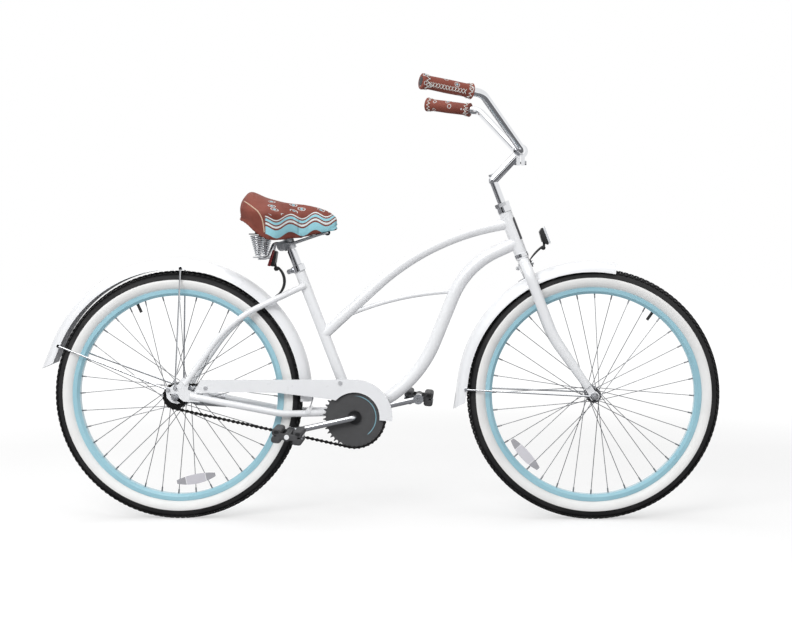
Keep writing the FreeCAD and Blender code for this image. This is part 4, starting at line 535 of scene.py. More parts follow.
def turned(bm, base, axis, profile, sides, closed=False, material=0):
    """Lathe a list of (height along the axis, radius) about an axis."""
    side, other = frame_about(axis)
    axis = Vector(axis).normalized()
    rings = []
    for height, radius in profile:
        centre = Vector(base) + axis * height
        rings.append([centre + (side * math.cos(a) + other * math.sin(a)) * radius
                      for a in (2 * math.pi * i / sides for i in range(sides))])
    skin(bm, rings, closed, material)


def arc_through(first, middle, last, count):
    """Points on the circle through three (u, v) points, from the first to the last."""
    ax, ay = first
    bx, by = middle
    cx, cy = last
    d = 2 * (ax * (by - cy) + bx * (cy - ay) + cx * (ay - by))
    sa, sb, sc = ax * ax + ay * ay, bx * bx + by * by, cx * cx + cy * cy
    u = (sa * (by - cy) + sb * (cy - ay) + sc * (ay - by)) / d
    v = (sa * (cx - bx) + sb * (ax - cx) + sc * (bx - ax)) / d
    radius = math.hypot(ax - u, ay - v)
    start = math.atan2(ay - v, ax - u)
    through = (math.atan2(by - v, bx - u) - start) % (2 * math.pi)
    whole = (math.atan2(cy - v, cx - u) - start) % (2 * math.pi)
    sweep = whole if through < whole else whole - 2 * math.pi
    angles = [start + sweep * i / count for i in range(count + 1)]
    return [(u + radius * math.cos(a), v + radius * math.sin(a)) for a in angles]


# %% [markdown]
# ## Rounder tubes
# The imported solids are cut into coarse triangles, but each corner still carries the true direction of its
# surface. That is enough to round them again: every triangle is split in four, and the middle of each edge
# moves out to the arc that the directions at its two ends describe. Flat faces stay flat, because their
# directions agree. A Subdivision modifier would round them too, but it would melt their flat ends.


# %% Rounded copies
def halved(points, triangles, facing):
    """Split each triangle in four and bulge the edge middles; facing holds one direction a corner."""
    ends = np.roll(triangles, -1, axis=1)
    edge = points[ends] - points[triangles]
    far = np.roll(facing, -1, axis=1)
    bulge = (edge * far).sum(-1, keepdims=True) * far
    bulge = (bulge - (edge * facing).sum(-1, keepdims=True) * facing) / 8
    pairs = np.sort(np.stack([triangles, ends], -1).reshape(-1, 2), axis=1)
    edges, index = np.unique(pairs, axis=0, return_inverse=True)
    index = index.reshape(-1)
    bulge = bulge.reshape(-1, 3)
    order = np.argsort(np.linalg.norm(bulge, axis=1))
    largest = np.zeros((len(edges), 3))
    largest[index[order]] = bulge[order]
    middles = (points[edges[:, 0]] + points[edges[:, 1]]) / 2 + largest
    half = len(points) + index.reshape(-1, 3)
    between = facing + far
    between /= np.maximum(np.linalg.norm(between, axis=-1, keepdims=True), 1e-9)
    a, b, c = triangles.T
    ab, bc, ca = half.T
    na, nb, nc = facing.transpose(1, 0, 2)
    nab, nbc, nca = between.transpose(1, 0, 2)
    split = ((a, ab, ca), (ab, b, bc), (ca, bc, c), (ab, bc, ca))
    turned_to = ((na, nab, nca), (nab, nb, nbc), (nca, nbc, nc), (nab, nbc, nca))
    return (np.vstack([points, middles]), np.vstack([np.stack(s, 1) for s in split]),
            np.vstack([np.stack(s, 1) for s in turned_to]))


# %% From solid to rounded mesh
def rounded_mesh(node, levels):
    source = nodes[node].data
    places = np.empty(len(source.vertices) * 3)
    corners = np.empty(len(source.loops), dtype=np.int64)
    facing = np.empty(len(source.loops) * 3)
    source.vertices.foreach_get("co", places)
    source.loops.foreach_get("vertex_index", corners)
    source.corner_normals.foreach_get("vector", facing)
    points, same = np.unique(np.round(places.reshape(-1, 3), 7), axis=0, return_inverse=True)
    triangles = same.reshape(-1)[corners].reshape(-1, 3)
    facing = facing.reshape(-1, 3, 3)
    for level in range(levels):
        points, triangles, facing = halved(points, triangles, facing)
    mesh = bpy.data.meshes.new(node + "_rounded")
    mesh.from_pydata(points.tolist(), [], triangles.tolist())
    mesh.shade_smooth()
    mesh.normals_split_custom_set(facing.reshape(-1, 3).tolist())
    return mesh


# %% Rounded pieces
def body_of(node):
    return nodes[node].parent.name.split(":")[-1]


def rounded(node, slot, levels):
    """A finer copy of a painted solid, in the same material, in its place."""
    mesh = rounded_mesh(node, levels)
    mesh.materials.append(nodes[node].material_slots[0].material)
    piece = linked(node + "_rounded", mesh)
    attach(piece, body_of(node))
    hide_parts(node)
    return len(mesh.polygons)


rounded_pieces = {
    "white_paint": ("top_tube", "down_tube", "brace_tube", "seat_stays", "chain_stays", "fork", "head_tube",
                    "seat_tube", "rear_fender", "front_fender"),
    "blue_rim": ("front_rim", "rear_rim"),
    "chrome": ("handlebar", "stem", "crank", "seatpost")}
long_bends = ("top_tube", "handlebar")
counts = [rounded(name, slot, 2 if name in long_bends else 1)
          for slot, names in rounded_pieces.items() for name in names]
print("rounded", len(counts), "pieces into", sum(counts), "triangles")

# %% [markdown]
# ## Growing what repeats
# Tread blocks, chain links, coils and stitches repeat many times, so each comes from a Geometry Nodes tree
# with named inputs. A loop in Python could place them too, but a tree keeps shape and count apart. It runs
# once on a small carrier mesh, and its result is kept as a plain mesh.


# %% Geometry trees
def evaluated_mesh(holder):
    """The shape of an object with its modifiers, as a plain mesh."""
    return bpy.data.meshes.new_from_object(holder.evaluated_get(bpy.context.evaluated_depsgraph_get()))


class Grower(Graph):
    """A geometry tree with named inputs, whose result is realized and given one material."""

    def __init__(self, name, inputs):
        tree = bpy.data.node_groups.new(name, "GeometryNodeTree")
        super().__init__(tree)
        tree.interface.new_socket("Geometry", in_out="INPUT", socket_type="NodeSocketGeometry")
        for label, kind in inputs.items():
            tree.interface.new_socket(label, in_out="INPUT", socket_type="NodeSocket" + kind)
        tree.interface.new_socket("Material", in_out="INPUT", socket_type="NodeSocketMaterial")
        tree.interface.new_socket("Geometry", in_out="OUTPUT", socket_type="NodeSocketGeometry")
        self.inputs = tree.nodes.new("NodeGroupInput")

    def given(self, label):
        return Value(self, self.inputs.outputs[label])

    def vector(self, x, y, z):
        return self.node("ShaderNodeCombineXYZ", None, {0: x, 1: y, 2: z})

    def carried(self, label):
        """The number that each point of the carrier holds under this name."""
        return self.node("GeometryNodeInputNamedAttribute", {"data_type": "FLOAT"}, {"Name": label})

    def moved(self, geometry, **by):
        return self.node("GeometryNodeTransform", None, {"Geometry": geometry, **by})

    def planted(self, points, shape, **more):
        return self.node("GeometryNodeInstanceOnPoints", None, {"Points": points, "Instance": shape, **more})

    def end(self, geometry):
        whole = self.node("GeometryNodeRealizeInstances", None, {"Geometry": geometry})
        whole = self.node("GeometryNodeSetMaterial", None,
                          {"Geometry": whole, "Material": self.given("Material")})
        out = self.tree.nodes.new("NodeGroupOutput")
        self.feed(out.inputs["Geometry"], whole)

    def grow(self, carrier, values):
        """Run the tree on a carrier mesh and return the result as a plain mesh."""
        holder = linked(self.tree.name, carrier)
        modifier = holder.modifiers.new("grow", "NODES")
        modifier.node_group = self.tree
        for item in self.tree.interface.items_tree:
            if item.in_out == "INPUT" and item.name in values:
                modifier[item.identifier] = values[item.name]
        mesh = evaluated_mesh(holder)
        holder.modifiers.remove(modifier)
        bpy.data.objects.remove(holder)
        return mesh


# %% Points that carry numbers
def point_cloud(name, places, **attributes):
    """A mesh of loose points that carries one number a point under each name."""
    mesh = bpy.data.meshes.new(name)
    mesh.from_pydata([tuple(p) for p in places], [], [])
    for label, values in attributes.items():
        layer = mesh.attributes.new(label, "FLOAT", "POINT")
        layer.data.foreach_set("value", values)
    return mesh


# %% [markdown]
# ## Tyres
# Balloon tyres with white walls. The carcass is lathed from a profile that leaves the rim, swells past it
# and rounds over into the crown. Rows of tread blocks stand on the crown. The white wall is a band of the
# same rubber, so one material divides them by distance from the axle and ribs the white part finely towards
# the axle. Bump could draw the tread, but the outline of the tyre would stay smooth, so the blocks are
# real.

# %% Tyre sizes
tyre_low, tyre_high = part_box("front_tyre")
rim_low, rim_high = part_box("front_rim")
tyre_radius = (tyre_high.x - tyre_low.x) / 2
tyre_half = tyre_high.y
rim_radius = (rim_high.x - rim_low.x) / 2
rim_half = rim_high.y
tread_depth = 3.2 * MM
white_edge = 310.8 * MM
white_fade = 0.3 * MM
wall_lip = 0.7 * MM
tread_pitch = 15.0 * MM
row_gap = 8.6 * MM
block_length = 8.4 * MM
block_width = 12.4 * MM
shoulder_in = 4.5 * MM
shoulder_drop = 8.5 * MM
bead_in = 2.0 * MM
carcass_sides = 160
print("tyre", round(2 * tyre_radius, 3), "m over the tread")


# %% Tyre rubber
def tyre_rubber(name, axle):
    f = Finish(name, {"Specular IOR Level": 0.35})
    p = f.place()
    distance, angle = f.about(p, axle)
    black = distance.step(white_edge - white_fade, white_edge + white_fade)
    dust = f.noise(p, 18.0, 5.0)
    wall = f.tint(dust.step(0.35, 0.75), rgb(0.88, 0.88, 0.87), rgb(0.83, 0.83, 0.82))
    tread = f.tint(dust.step(0.4, 0.8), rgb(0.012, 0.012, 0.013), rgb(0.026, 0.025, 0.025))
    f.set("Base Color", f.tint(black, wall, tread))
    f.set("Roughness", 0.5 + 0.18 * f.noise(p, 120.0) + 0.08 * black)
    ribs = (angle * 420.0).call("SINE") * (1.0 - black)
    f.dent(ribs * 0.5 + f.noise(p, 900.0, 2.0), 0.25, 0.0004)
    return f.material


# %% Tread blocks
def tread_tree():
    g = Grower("tread_blocks", {"Count": "Int", "Radius": "Float", "Row Gap": "Float", "Crown": "Float",
                                "Block": "Vector"})
    block = g.node("GeometryNodeMeshCone", None,
                   {"Vertices": 6, "Radius Top": 0.47, "Radius Bottom": 0.56, "Depth": 1.0})
    block = g.moved(g.moved(block, Scale=g.given("Block")), Rotation=(0.0, math.pi / 2, 0.0))
    outward = g.node("FunctionNodeAlignRotationToVector", {"axis": "X", "pivot_axis": "Z"},
                     {"Vector": g.node("GeometryNodeInputPosition")})
    rows = []
    for row in (-2, -1, 0, 1, 2):
        shift = g.given("Row Gap") * row
        drop = shift * shift / (2.0 * g.given("Crown"))
        ring = g.node("GeometryNodeMeshCircle", None,
                      {"Vertices": g.given("Count"), "Radius": g.given("Radius") - drop})
        ring = g.moved(ring, Rotation=g.vector(0.0, 0.0, math.pi * (row % 2) / g.given("Count")))
        planted = g.planted(ring, block, Rotation=outward)
        rows.append(g.moved(planted, Translation=g.vector(0.0, 0.0, shift)))
    whole = g.node("GeometryNodeJoinGeometry", None, {"Geometry": rows})
    g.end(g.moved(whole, Rotation=(math.pi / 2, 0.0, 0.0)))
    return g


tread = tread_tree()
print("tread tree:", len(tread.tree.nodes), "nodes")


# %% Both tyres
def tyre_profile():
    """Half section from the bead to the crown as (half width, radius), then mirrored."""
    crown_radius = tyre_radius - tread_depth
    shoulder = (tyre_half - shoulder_in, crown_radius - shoulder_drop)
    widest = (tyre_half, (rim_radius + crown_radius) / 2 - 2 * MM)
    wall = arc_through((rim_half - bead_in, rim_radius + 0.4 * MM), widest, shoulder, 14)
    lipped = [(w - (wall_lip if r > white_edge else 0.0), r) for w, r in wall]
    crown = arc_through(shoulder, (0.0, crown_radius), (-shoulder[0], shoulder[1]), 14)
    half = [(rim_half - bead_in - 0.1 * MM, rim_radius - 5 * MM)] + lipped
    return half[:-1] + crown + [(-w, r) for w, r in half[-2::-1]]


def tyre(prefix, axle, body):
    rubber = tyre_rubber(prefix + "_tyre_rubber", axle)
    bm = bmesh.new()
    turned(bm, axle, (0, 1, 0), tyre_profile(), carcass_sides, closed=True)
    carcass = plain_mesh(prefix + "_tyre_carcass", bm)
    keep(prefix + "_tyre_carcass", carcass, body, (prefix + "_tyre",), (rubber,))
    values = {"Count": round(2 * math.pi * tyre_radius / tread_pitch),
              "Radius": tyre_radius - tread_depth / 2 - 0.5 * MM, "Row Gap": row_gap,
              "Crown": (tyre_half - shoulder_in) ** 2 / (2 * shoulder_drop),
              "Block": (block_length, block_width, tread_depth), "Material": rubber}
    blocks = tread.grow(bpy.data.meshes.new("tread_carrier"), values)
    blocks.transform(Matrix.Translation(axle))
    keep(prefix + "_tread_blocks", blocks, body)
    print(prefix, "tyre:", len(carcass.polygons), "faces and", len(blocks.polygons), "on the tread")


tyre("front", front_axle, "front_wheel")
tyre("rear", rear_axle, "rear_wheel")

# %% [markdown]
# ## Chain
# A half-inch chain of 104 links. Each pitch is a point on the loop round both toothed wheels, and every
# point carries the direction of its link. Plates with a waist go on those points: inner plates on even
# links, outer plates on odd ones, with rollers at the pins. An array bent along a curve would bend the
# plates. Placing each link whole keeps them straight, as steel is.

# %% Chain sizes
pitch = 12.7 * MM
ring_teeth = 40
cog_teeth = 16
chain_links = 104
ring_radius = pitch / (2 * math.sin(math.pi / ring_teeth))
cog_radius = pitch / (2 * math.sin(math.pi / cog_teeth))
chain_low, chain_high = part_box("chain")
chain_y = (chain_low.y + chain_high.y) / 2
chain_half = (chain_high.y - chain_low.y) / 2
link_thick = 1.0 * MM
link_end = 4.3 * MM
inner_waist = 1.7 * MM
outer_waist = 1.9 * MM
roller_radius = 3.75 * MM
pin_radius = 1.8 * MM
pin_proud = 0.25 * MM
print("chainring", round(2 * ring_radius, 4), "m and sprocket", round(2 * cog_radius, 4), "m at the pins")


# %% Chain path
def on_circle(centre, radius, angle):
    return Vector((centre.x + radius * math.cos(angle), chain_y, centre.z + radius * math.sin(angle)))


def chain_pins():
    """Pin places, one a pitch, from the top of the chainring round the loop."""
    span = rear_axle - crank_axle
    centres = math.hypot(span.x, span.z)
    toward = math.atan2(span.z, span.x)
    spread = math.acos((ring_radius - cog_radius) / centres)
    straight = math.sqrt(centres ** 2 - (ring_radius - cog_radius) ** 2) / pitch
    top, low = toward - spread, toward + spread

    def on_ring(s):
        return on_circle(crank_axle, ring_radius, top - s * 2 * math.pi / ring_teeth)

    def on_cog(s):
        return on_circle(rear_axle, cog_radius, low - s * 2 * math.pi / cog_teeth)

    def lower_run(s):
        start = on_circle(crank_axle, ring_radius, low)
        return start.lerp(on_circle(rear_axle, cog_radius, low), s / straight)

    def upper_run(s):
        start = on_circle(rear_axle, cog_radius, top)
        return start.lerp(on_circle(crank_axle, ring_radius, top), s / straight)

    stretches = ((ring_teeth * (1 - spread / math.pi), on_ring), (straight, lower_run),
                 (cog_teeth * spread / math.pi, on_cog), (math.inf, upper_run))
    pins = []
    for i in range(chain_links):
        s = float(i)
        for length, place in stretches:
            if s < length:
                pins.append(place(s))
                break
            s -= length
    return pins


# %% Chain links
def link_plate(name, waist, offset):
    """A pair of waisted plates about the middle of one pitch, standing off the chain line."""
    outline = []
    for end in (1, -1):
        for k in range(9):
            angle = end * math.pi / 2 - math.pi * k / 8
            outline.append((end * pitch / 2 + link_end * math.cos(angle), link_end * math.sin(angle)))
        outline.append((0.0, -waist * end))
    bm = bmesh.new()
    for side in (1, -1):
        skin(bm, [[Vector((x, y, z)) for x, z in outline]
                  for y in (side * offset, side * (offset + link_thick))])
    return linked(name, plain_mesh(name, bm))


def chain_tree():
    g = Grower("chain_links", {"Inner": "Object", "Outer": "Object", "Roller Radius": "Float",
                               "Roller Width": "Float", "Pin Radius": "Float", "Pin Width": "Float"})
    points = g.given("Geometry")
    odd, pin = g.carried("odd"), g.carried("pin")
    facing = g.vector(0.0, g.carried("turn"), 0.0)
    made = []
    for label, wanted in (("Inner", odd < 0.5), ("Outer", odd > 0.5)):
        plates = g.node("GeometryNodeObjectInfo", None, {"Object": g.given(label)}, "Geometry")
        made.append(g.planted(points, plates, Selection=wanted * (pin < 0.5), Rotation=facing))
    for label in ("Roller", "Pin"):
        bar = g.node("GeometryNodeMeshCylinder", None, {"Vertices": 12, "Radius": g.given(label + " Radius"),
                                                        "Depth": g.given(label + " Width")})
        made.append(g.planted(points, g.moved(bar, Rotation=(math.pi / 2, 0.0, 0.0)), Selection=pin > 0.5))
    g.end(g.node("GeometryNodeJoinGeometry", None, {"Geometry": made}))
    return g


# %% The whole chain
def chain():
    pins = chain_pins()
    places, turns, odds, kinds = [], [], [], []
    for i, pin in enumerate(pins):
        run = pins[(i + 1) % chain_links] - pin
        places += [pin + run / 2, pin]
        turns += [math.atan2(-run.z, run.x)] * 2
        odds += [float(i % 2)] * 2
        kinds += [0.0, 1.0]
    inner_gap = chain_half - 2 * link_thick - 0.2 * MM
    inner = link_plate("chain_inner_plate", inner_waist, inner_gap)
    outer = link_plate("chain_outer_plate", outer_waist, inner_gap + link_thick + 0.1 * MM)
    values = {"Inner": inner, "Outer": outer, "Roller Radius": roller_radius, "Roller Width": 2 * inner_gap,
              "Pin Radius": pin_radius, "Pin Width": 2 * (chain_half + pin_proud), "Material": dark_steel}
    cloud = point_cloud("chain_pitches", places, turn=turns, odd=odds, pin=kinds)
    mesh = chain_tree().grow(cloud, values)
    bpy.data.objects.remove(inner)
    bpy.data.objects.remove(outer)
    keep("roller_chain", mesh, "frame", ("chain",))
    print("chain:", chain_links, "links,", len(mesh.polygons), "faces")


chain()

# %% [markdown]
# ## Leather
# Saddle and grips share one brown hide. Its grain is a field of small cells with a darker crease between
# them. A plain print of waves and dots in pale blue and white lies on top.
# An image would need an unwrapped map. Formulas on the object's own coordinates need none, and stay sharp
# at any distance.


# %% Printed leather
hide_brown = rgb(0.235, 0.066, 0.046)
hide_dark = rgb(0.165, 0.043, 0.030)
print_blue = rgb(0.30, 0.60, 0.68)
print_white = rgb(0.68, 0.74, 0.74)
print_from = 78.0 * MM
wave_length = 62.0 * MM
wave_swing = 7.0 * MM
print_waves = ((0.10, 0.085, print_blue), (0.235, 0.022, print_white), (0.31, 0.028, print_blue),
               (0.375, 0.012, print_white))


def hide(f, p):
    """Colour, roughness and grain of the bare leather."""
    broad = f.noise(p, 14.0, 5.0)
    grain = f.cells(p, 620.0)
    colour = f.tint(broad.step(0.3, 0.75), hide_brown, hide_dark)
    f.set("Roughness", 0.46 + 0.16 * f.noise(p, 80.0) + 0.1 * grain)
    f.dent(grain + f.noise(p, 1600.0, 2.0) * 0.4, 0.35, 0.0005)
    return colour


def spots(f, vector, scale, size, dimensions="3D"):
    """Round dots and thin rings scattered one to a cell."""
    distance = f.cells(vector, scale, 0.75, dimensions)
    dot = 1.0 - distance.step(size * 0.8, size)
    ring = distance.step(size * 1.7, size * 1.8) * (1.0 - distance.step(size * 2.1, size * 2.2))
    return dot, ring


# %% Saddle and grip leather
def saddle_leather(low, high):
    """Waves along the lower flank and dots above, in front of the plain rear panel."""
    f = Finish("saddle_leather", {"Specular IOR Level": 0.22})
    p = f.place()
    x, y, z = f.xyz(p)
    colour = hide(f, p)
    swing = ((x - low.x) * (2 * math.pi / wave_length)).call("SINE") * wave_swing
    level = (z - low.z - swing - (x - low.x) * 0.08) / (high.z - low.z)
    front = x.step(low.x + print_from, low.x + print_from + 4 * MM)
    for height, width, paint in print_waves:
        band = (1.0 - abs(level - height).step(width * 0.85, width)) * front
        colour = f.tint(band, colour, paint)
    unrolled = f.node("ShaderNodeCombineXYZ", None, {0: x, 1: z - abs(y)})
    dot, ring = spots(f, unrolled, 25.0, 0.12, "2D")
    upper = level.step(0.44, 0.46) * front
    colour = f.tint(ring * upper, colour, print_white)
    colour = f.tint(dot * upper, colour, print_blue)
    f.set("Base Color", colour)
    return f.material


def grip_leather():
    f = Finish("grip_leather", {"Specular IOR Level": 0.22})
    p = f.place()
    colour = hide(f, p)
    dot, ring = spots(f, p, 44.0, 0.14)
    colour = f.tint(ring * 0.8, colour, print_white)
    f.set("Base Color", f.tint(dot * 0.9, colour, print_blue))
    return f.material


# %% Thread and cord
def thread_finish(name, colour, dark, twist):
    """Waxed thread or cord: fine slanted ridges and a slight yellowing."""
    f = Finish(name, {"Specular IOR Level": 0.3, "Sheen Weight": 0.2})
    p = f.place()
    lay = f.node("ShaderNodeTexWave", {"bands_direction": "DIAGONAL"},
                 {"Vector": p, "Scale": twist, "Distortion": 0.6})
    f.set("Base Color", f.tint(lay * 0.5 + 0.4 * f.noise(p, 60.0), colour, dark))
    f.set("Roughness", 0.6 + 0.15 * f.noise(p, 200.0))
    f.dent(lay, 0.4, 0.0003)
    return f.material


lacing_thread = thread_finish("lacing_thread", rgb(0.78, 0.77, 0.74), rgb(0.55, 0.53, 0.49), 220.0)
piping_cord = thread_finish("piping_cord", rgb(0.62, 0.45, 0.33), rgb(0.42, 0.27, 0.19), 180.0)
print("waves on the flank:", len(print_waves))

# %% [markdown]
# ## Saddle
# A wide sprung saddle: foam under leather. The pad starts from a copy of the solid, drawn in a little, and
# a cloth run with air pressure swells it so that the crown rounds and the flanks go soft. Only its outer
# side may move. The underside stays on the pan. Last, the skirt hangs down a little over the rails, most in
# the middle of each flank. Sculpting could give the same form, but the cloth run finds it from one
# pressure.

# %% Saddle sizes
pad_voxel = 4.5 * MM
pad_shrink = 3.0 * MM
pad_cap = 6.0 * MM
pad_pressure = 4.0
pad_frames = 20
pad_low, pad_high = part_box("saddle_cushion")
under_reach = 0.25
under_slope = -0.55
print_drop = Vector((0, 0, 8 * MM))
skirt_reach = 40.0
skirt_line = ((0, 54, 0), (40, 21, 2), (70, 5, 7), (95, 0, 10), (160, 7, 11), (205, 14, 8), (245, 18, 5),
              (261, 23, 3))
print("saddle cushion", round(pad_high.x - pad_low.x, 3), "m long")


# %% Swelling the pad
def merged_copy(node, name):
    bm = bmesh.new()
    bm.from_mesh(nodes[node].data)
    bmesh.ops.remove_doubles(bm, verts=bm.verts, dist=1e-5)
    mesh = bpy.data.meshes.new(name)
    bm.to_mesh(mesh)
    bm.free()
    return mesh


def remeshed(mesh, voxel):
    holder = linked(mesh.name, mesh)
    remesh = holder.modifiers.new("remesh", "REMESH")
    remesh.mode = "VOXEL"
    remesh.voxel_size = voxel
    relax = holder.modifiers.new("relax", "SMOOTH")
    relax.factor = 0.5
    relax.iterations = 4
    made = evaluated_mesh(holder)
    bpy.data.objects.remove(holder)
    return made


def swollen(mesh):
    """Cloth under pressure from inside, without gravity, as the stuffed cover takes its shape."""
    holder = linked("swelling_pad", mesh)
    cloth = holder.modifiers.new("cloth", "CLOTH")
    cloth.settings.quality = 5
    cloth.settings.use_pressure = True
    cloth.settings.uniform_pressure_force = pad_pressure
    cloth.settings.effector_weights.gravity = 0
    for step in range(1, pad_frames + 1):
        scene.frame_set(step)
    made = evaluated_mesh(holder)
    scene.frame_set(1)
    bpy.data.objects.remove(holder)
    return [v.co.copy() for v in made.vertices]


def surface_tree(mesh):
    return BVHTree.FromPolygons([v.co for v in mesh.vertices], [p.vertices for p in mesh.polygons])


# %% Saddle cover
def loosened(mesh):
    """1 for each vertex on the outer side, 0 where another part of the pad or the pan lies over it."""
    tree = surface_tree(mesh)
    free = []
    for vertex in mesh.vertices:
        hit = tree.ray_cast(vertex.co + vertex.normal * MM, vertex.normal, under_reach)[0]
        free.append(0.0 if hit is not None or vertex.normal.z < under_slope else 1.0)
    return free


def hang_skirt(mesh):
    """Lower the edge of the cover, most in the middle of each flank."""
    stations, feet, drops = zip(*skirt_line)
    for vertex in mesh.vertices:
        ahead, height = (vertex.co.x - pad_low.x) / MM, (vertex.co.z - pad_low.z) / MM
        near_foot = min(max(1 - (height - np.interp(ahead, stations, feet)) / skirt_reach, 0.0), 1.0)
        vertex.co.z -= np.interp(ahead, stations, drops) * near_foot ** 2 * (3 - 2 * near_foot) * MM


def saddle_pad():
    mesh = remeshed(merged_copy("saddle_cushion", "saddle_pad"), pad_voxel)
    free = loosened(mesh)
    outward = [v.normal.copy() for v in mesh.vertices]
    for vertex, normal, loose in zip(mesh.vertices, outward, free):
        vertex.co = vertex.co - normal * (pad_shrink * loose)
    start = [v.co.copy() for v in mesh.vertices]
    for vertex, place, moved, loose in zip(mesh.vertices, start, swollen(mesh.copy()), free):
        shift = (moved - place) * loose
        vertex.co = place + shift * min(1.0, pad_cap / max(shift.length, 1e-9))
    hang_skirt(mesh)
    holder = linked("pad_refine", mesh)
    finer = holder.modifiers.new("finer", "SUBSURF")
    finer.levels = 1
    finer.render_levels = 1
    made = evaluated_mesh(holder)
    bpy.data.objects.remove(holder)
    made.name = "saddle_cover"
    made.materials.clear()
    return made


cover_mesh = saddle_pad()
saddle_cover = keep("saddle_cover", cover_mesh, "saddle", ("saddle_cushion",),
                    (saddle_leather(pad_low - print_drop, pad_high),))
print("saddle cover:", len(cover_mesh.polygons), "faces")

# %% [markdown]
# ## Piping
# A cord is sewn into the seam between the printed cover and the plain rear panel. It runs over the back of
# the saddle and down each flank. Its few points are listed and then pulled onto the swollen cover. A
# bump in the leather would look painted on, because a real cord casts a small shadow.

# %% Saddle piping
piping_radius = 1.7 * MM
piping_lift = 0.4 * MM
piping_side = ((0.0, 0.0, 0.80), (14.0, 50.0, 0.79), (28.0, 78.0, 0.74), (46.0, 98.0, 0.66),
               (60.0, 108.0, 0.56), (70.0, 112.0, 0.42), (75.0, 112.0, 0.26), (77.0, 110.0, 0.1))


def wire_mesh(name, points, radius):
    """A smooth round wire through a few control points."""
    curve = bpy.data.curves.new(name, "CURVE")
    curve.dimensions = "3D"
    curve.bevel_depth = radius
    curve.bevel_resolution = 3
    curve.use_fill_caps = True
    spline = curve.splines.new("NURBS")
    spline.points.add(len(points) - 1)
    for point, place in zip(spline.points, points):
        point.co = (*place, 1.0)
    spline.order_u = 3
    spline.use_endpoint_u = True
    holder = linked(name, curve)
    mesh = evaluated_mesh(holder)
    bpy.data.objects.remove(holder)
    return mesh


def saddle_piping():
    height = pad_high.z - pad_low.z
    half = [Vector((pad_low.x + x * MM, -y * MM, pad_low.z + share * height)) for x, y, share in piping_side]
    route = half[:0:-1] + [Vector((p.x, -p.y, p.z)) for p in half]
    tree = surface_tree(cover_mesh)
    nearest = [tree.find_nearest(p)[:2] for p in route]
    route = [hit + normal * piping_lift for hit, normal in nearest]
    keep("saddle_piping", wire_mesh("saddle_piping", route, piping_radius), "saddle", (),
         (piping_cord,))
    length = sum((b - a).length for a, b in zip(route, route[1:]))
    print("piping", round(length, 3), "m long")


saddle_piping()

# %% [markdown]
# ## Saddle springs
# Two tapered coils stand between the rails and the pan, wide at the top, with turns that almost touch. A
# spiral curve with a round section gives one wire, and a point at each foot gives the pair. They shorten
# when the saddle rocks, but here they hang on no body.

# %% Saddle springs
coil_low, coil_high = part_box("saddle_springs")
coil_wire = 2.1 * MM
coil_foot = 6.0 * MM
coil_top = 21.0 * MM
coil_turns = 10.0
coil_ahead = 228.0 * MM
coil_side = 70.0 * MM


def coil_tree():
    g = Grower("saddle_coil", {"Turns": "Float", "Foot": "Float", "Top": "Float", "Height": "Float",
                               "Wire": "Float"})
    wound = g.node("GeometryNodeCurveSpiral", None,
                   {"Resolution": 28, "Rotations": g.given("Turns"), "Start Radius": g.given("Foot"),
                    "End Radius": g.given("Top"), "Height": g.given("Height")})
    section = g.node("GeometryNodeCurvePrimitiveCircle", None, {"Resolution": 8, "Radius": g.given("Wire")})
    wire = g.node("GeometryNodeCurveToMesh", None,
                  {"Curve": wound, "Profile Curve": section, "Fill Caps": True})
    g.end(g.planted(g.given("Geometry"), wire))
    return g


def saddle_coils():
    foot = coil_low.z + coil_wire
    feet = [(rear_axle.x + coil_ahead, side * coil_side, foot) for side in (1, -1)]
    values = {"Turns": coil_turns, "Foot": coil_foot, "Top": coil_top,
              "Height": coil_high.z - coil_wire - foot, "Wire": coil_wire, "Material": chrome}
    bm = bmesh.new()
    bm.from_mesh(coil_tree().grow(point_cloud("coil_feet", feet), values))
    mesh = plain_mesh("saddle_coils", bm)
    mesh.materials.append(chrome)
    mesh.shade_smooth()
    return mesh


coil_mesh = saddle_coils()
coils = linked("saddle_coils", coil_mesh)
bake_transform(coils)
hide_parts("saddle_springs")
print("saddle coils:", len(coil_mesh.polygons), "faces")

# %% [markdown]
# ## Seat clamp
# A collar at the top of the seat tube, pinched by one bolt behind it. The two ears are rounded about the
# bolt, and its round head covers them from the side. Collar, bolt and nut are lathed, and each ear is an
# outline given a thickness.

# %% Seat clamp
seat_angle = math.radians(69.2)
seat_up = Vector((-math.cos(seat_angle), 0, math.sin(seat_angle)))
seat_back = Vector((-math.sin(seat_angle), 0, -math.cos(seat_angle)))
clamp_from = 414.0 * MM
clamp_height = 18.0
clamp_foot = Vector((crank_axle.x, 0, crank_axle.z)) + seat_up * clamp_from
clamp_ring = ((0, 14.4), (0, 17.2), (0.8, 18), (17.2, 18), (18, 17.2), (18, 14.4))
ear_from = 15.0
ear_edge = 2.0
ear_radius = 6.0
bolt_back = 26.0
bolt_head = ((7, 3), (7, 5.9), (7.6, 6.6), (10.4, 6.6), (12, 5.2), (12, 3), (9.6, 3))
bolt_shank = ((-13, 3), (8, 3))
bolt_nut = ((-12, 5), (-11.5, 5.6), (-7.5, 5.6), (-7, 5))


def on_clamp(back, up, y=0.0):
    return clamp_foot + seat_back * (back * MM) + seat_up * (up * MM) + Vector((0, y * MM, 0))


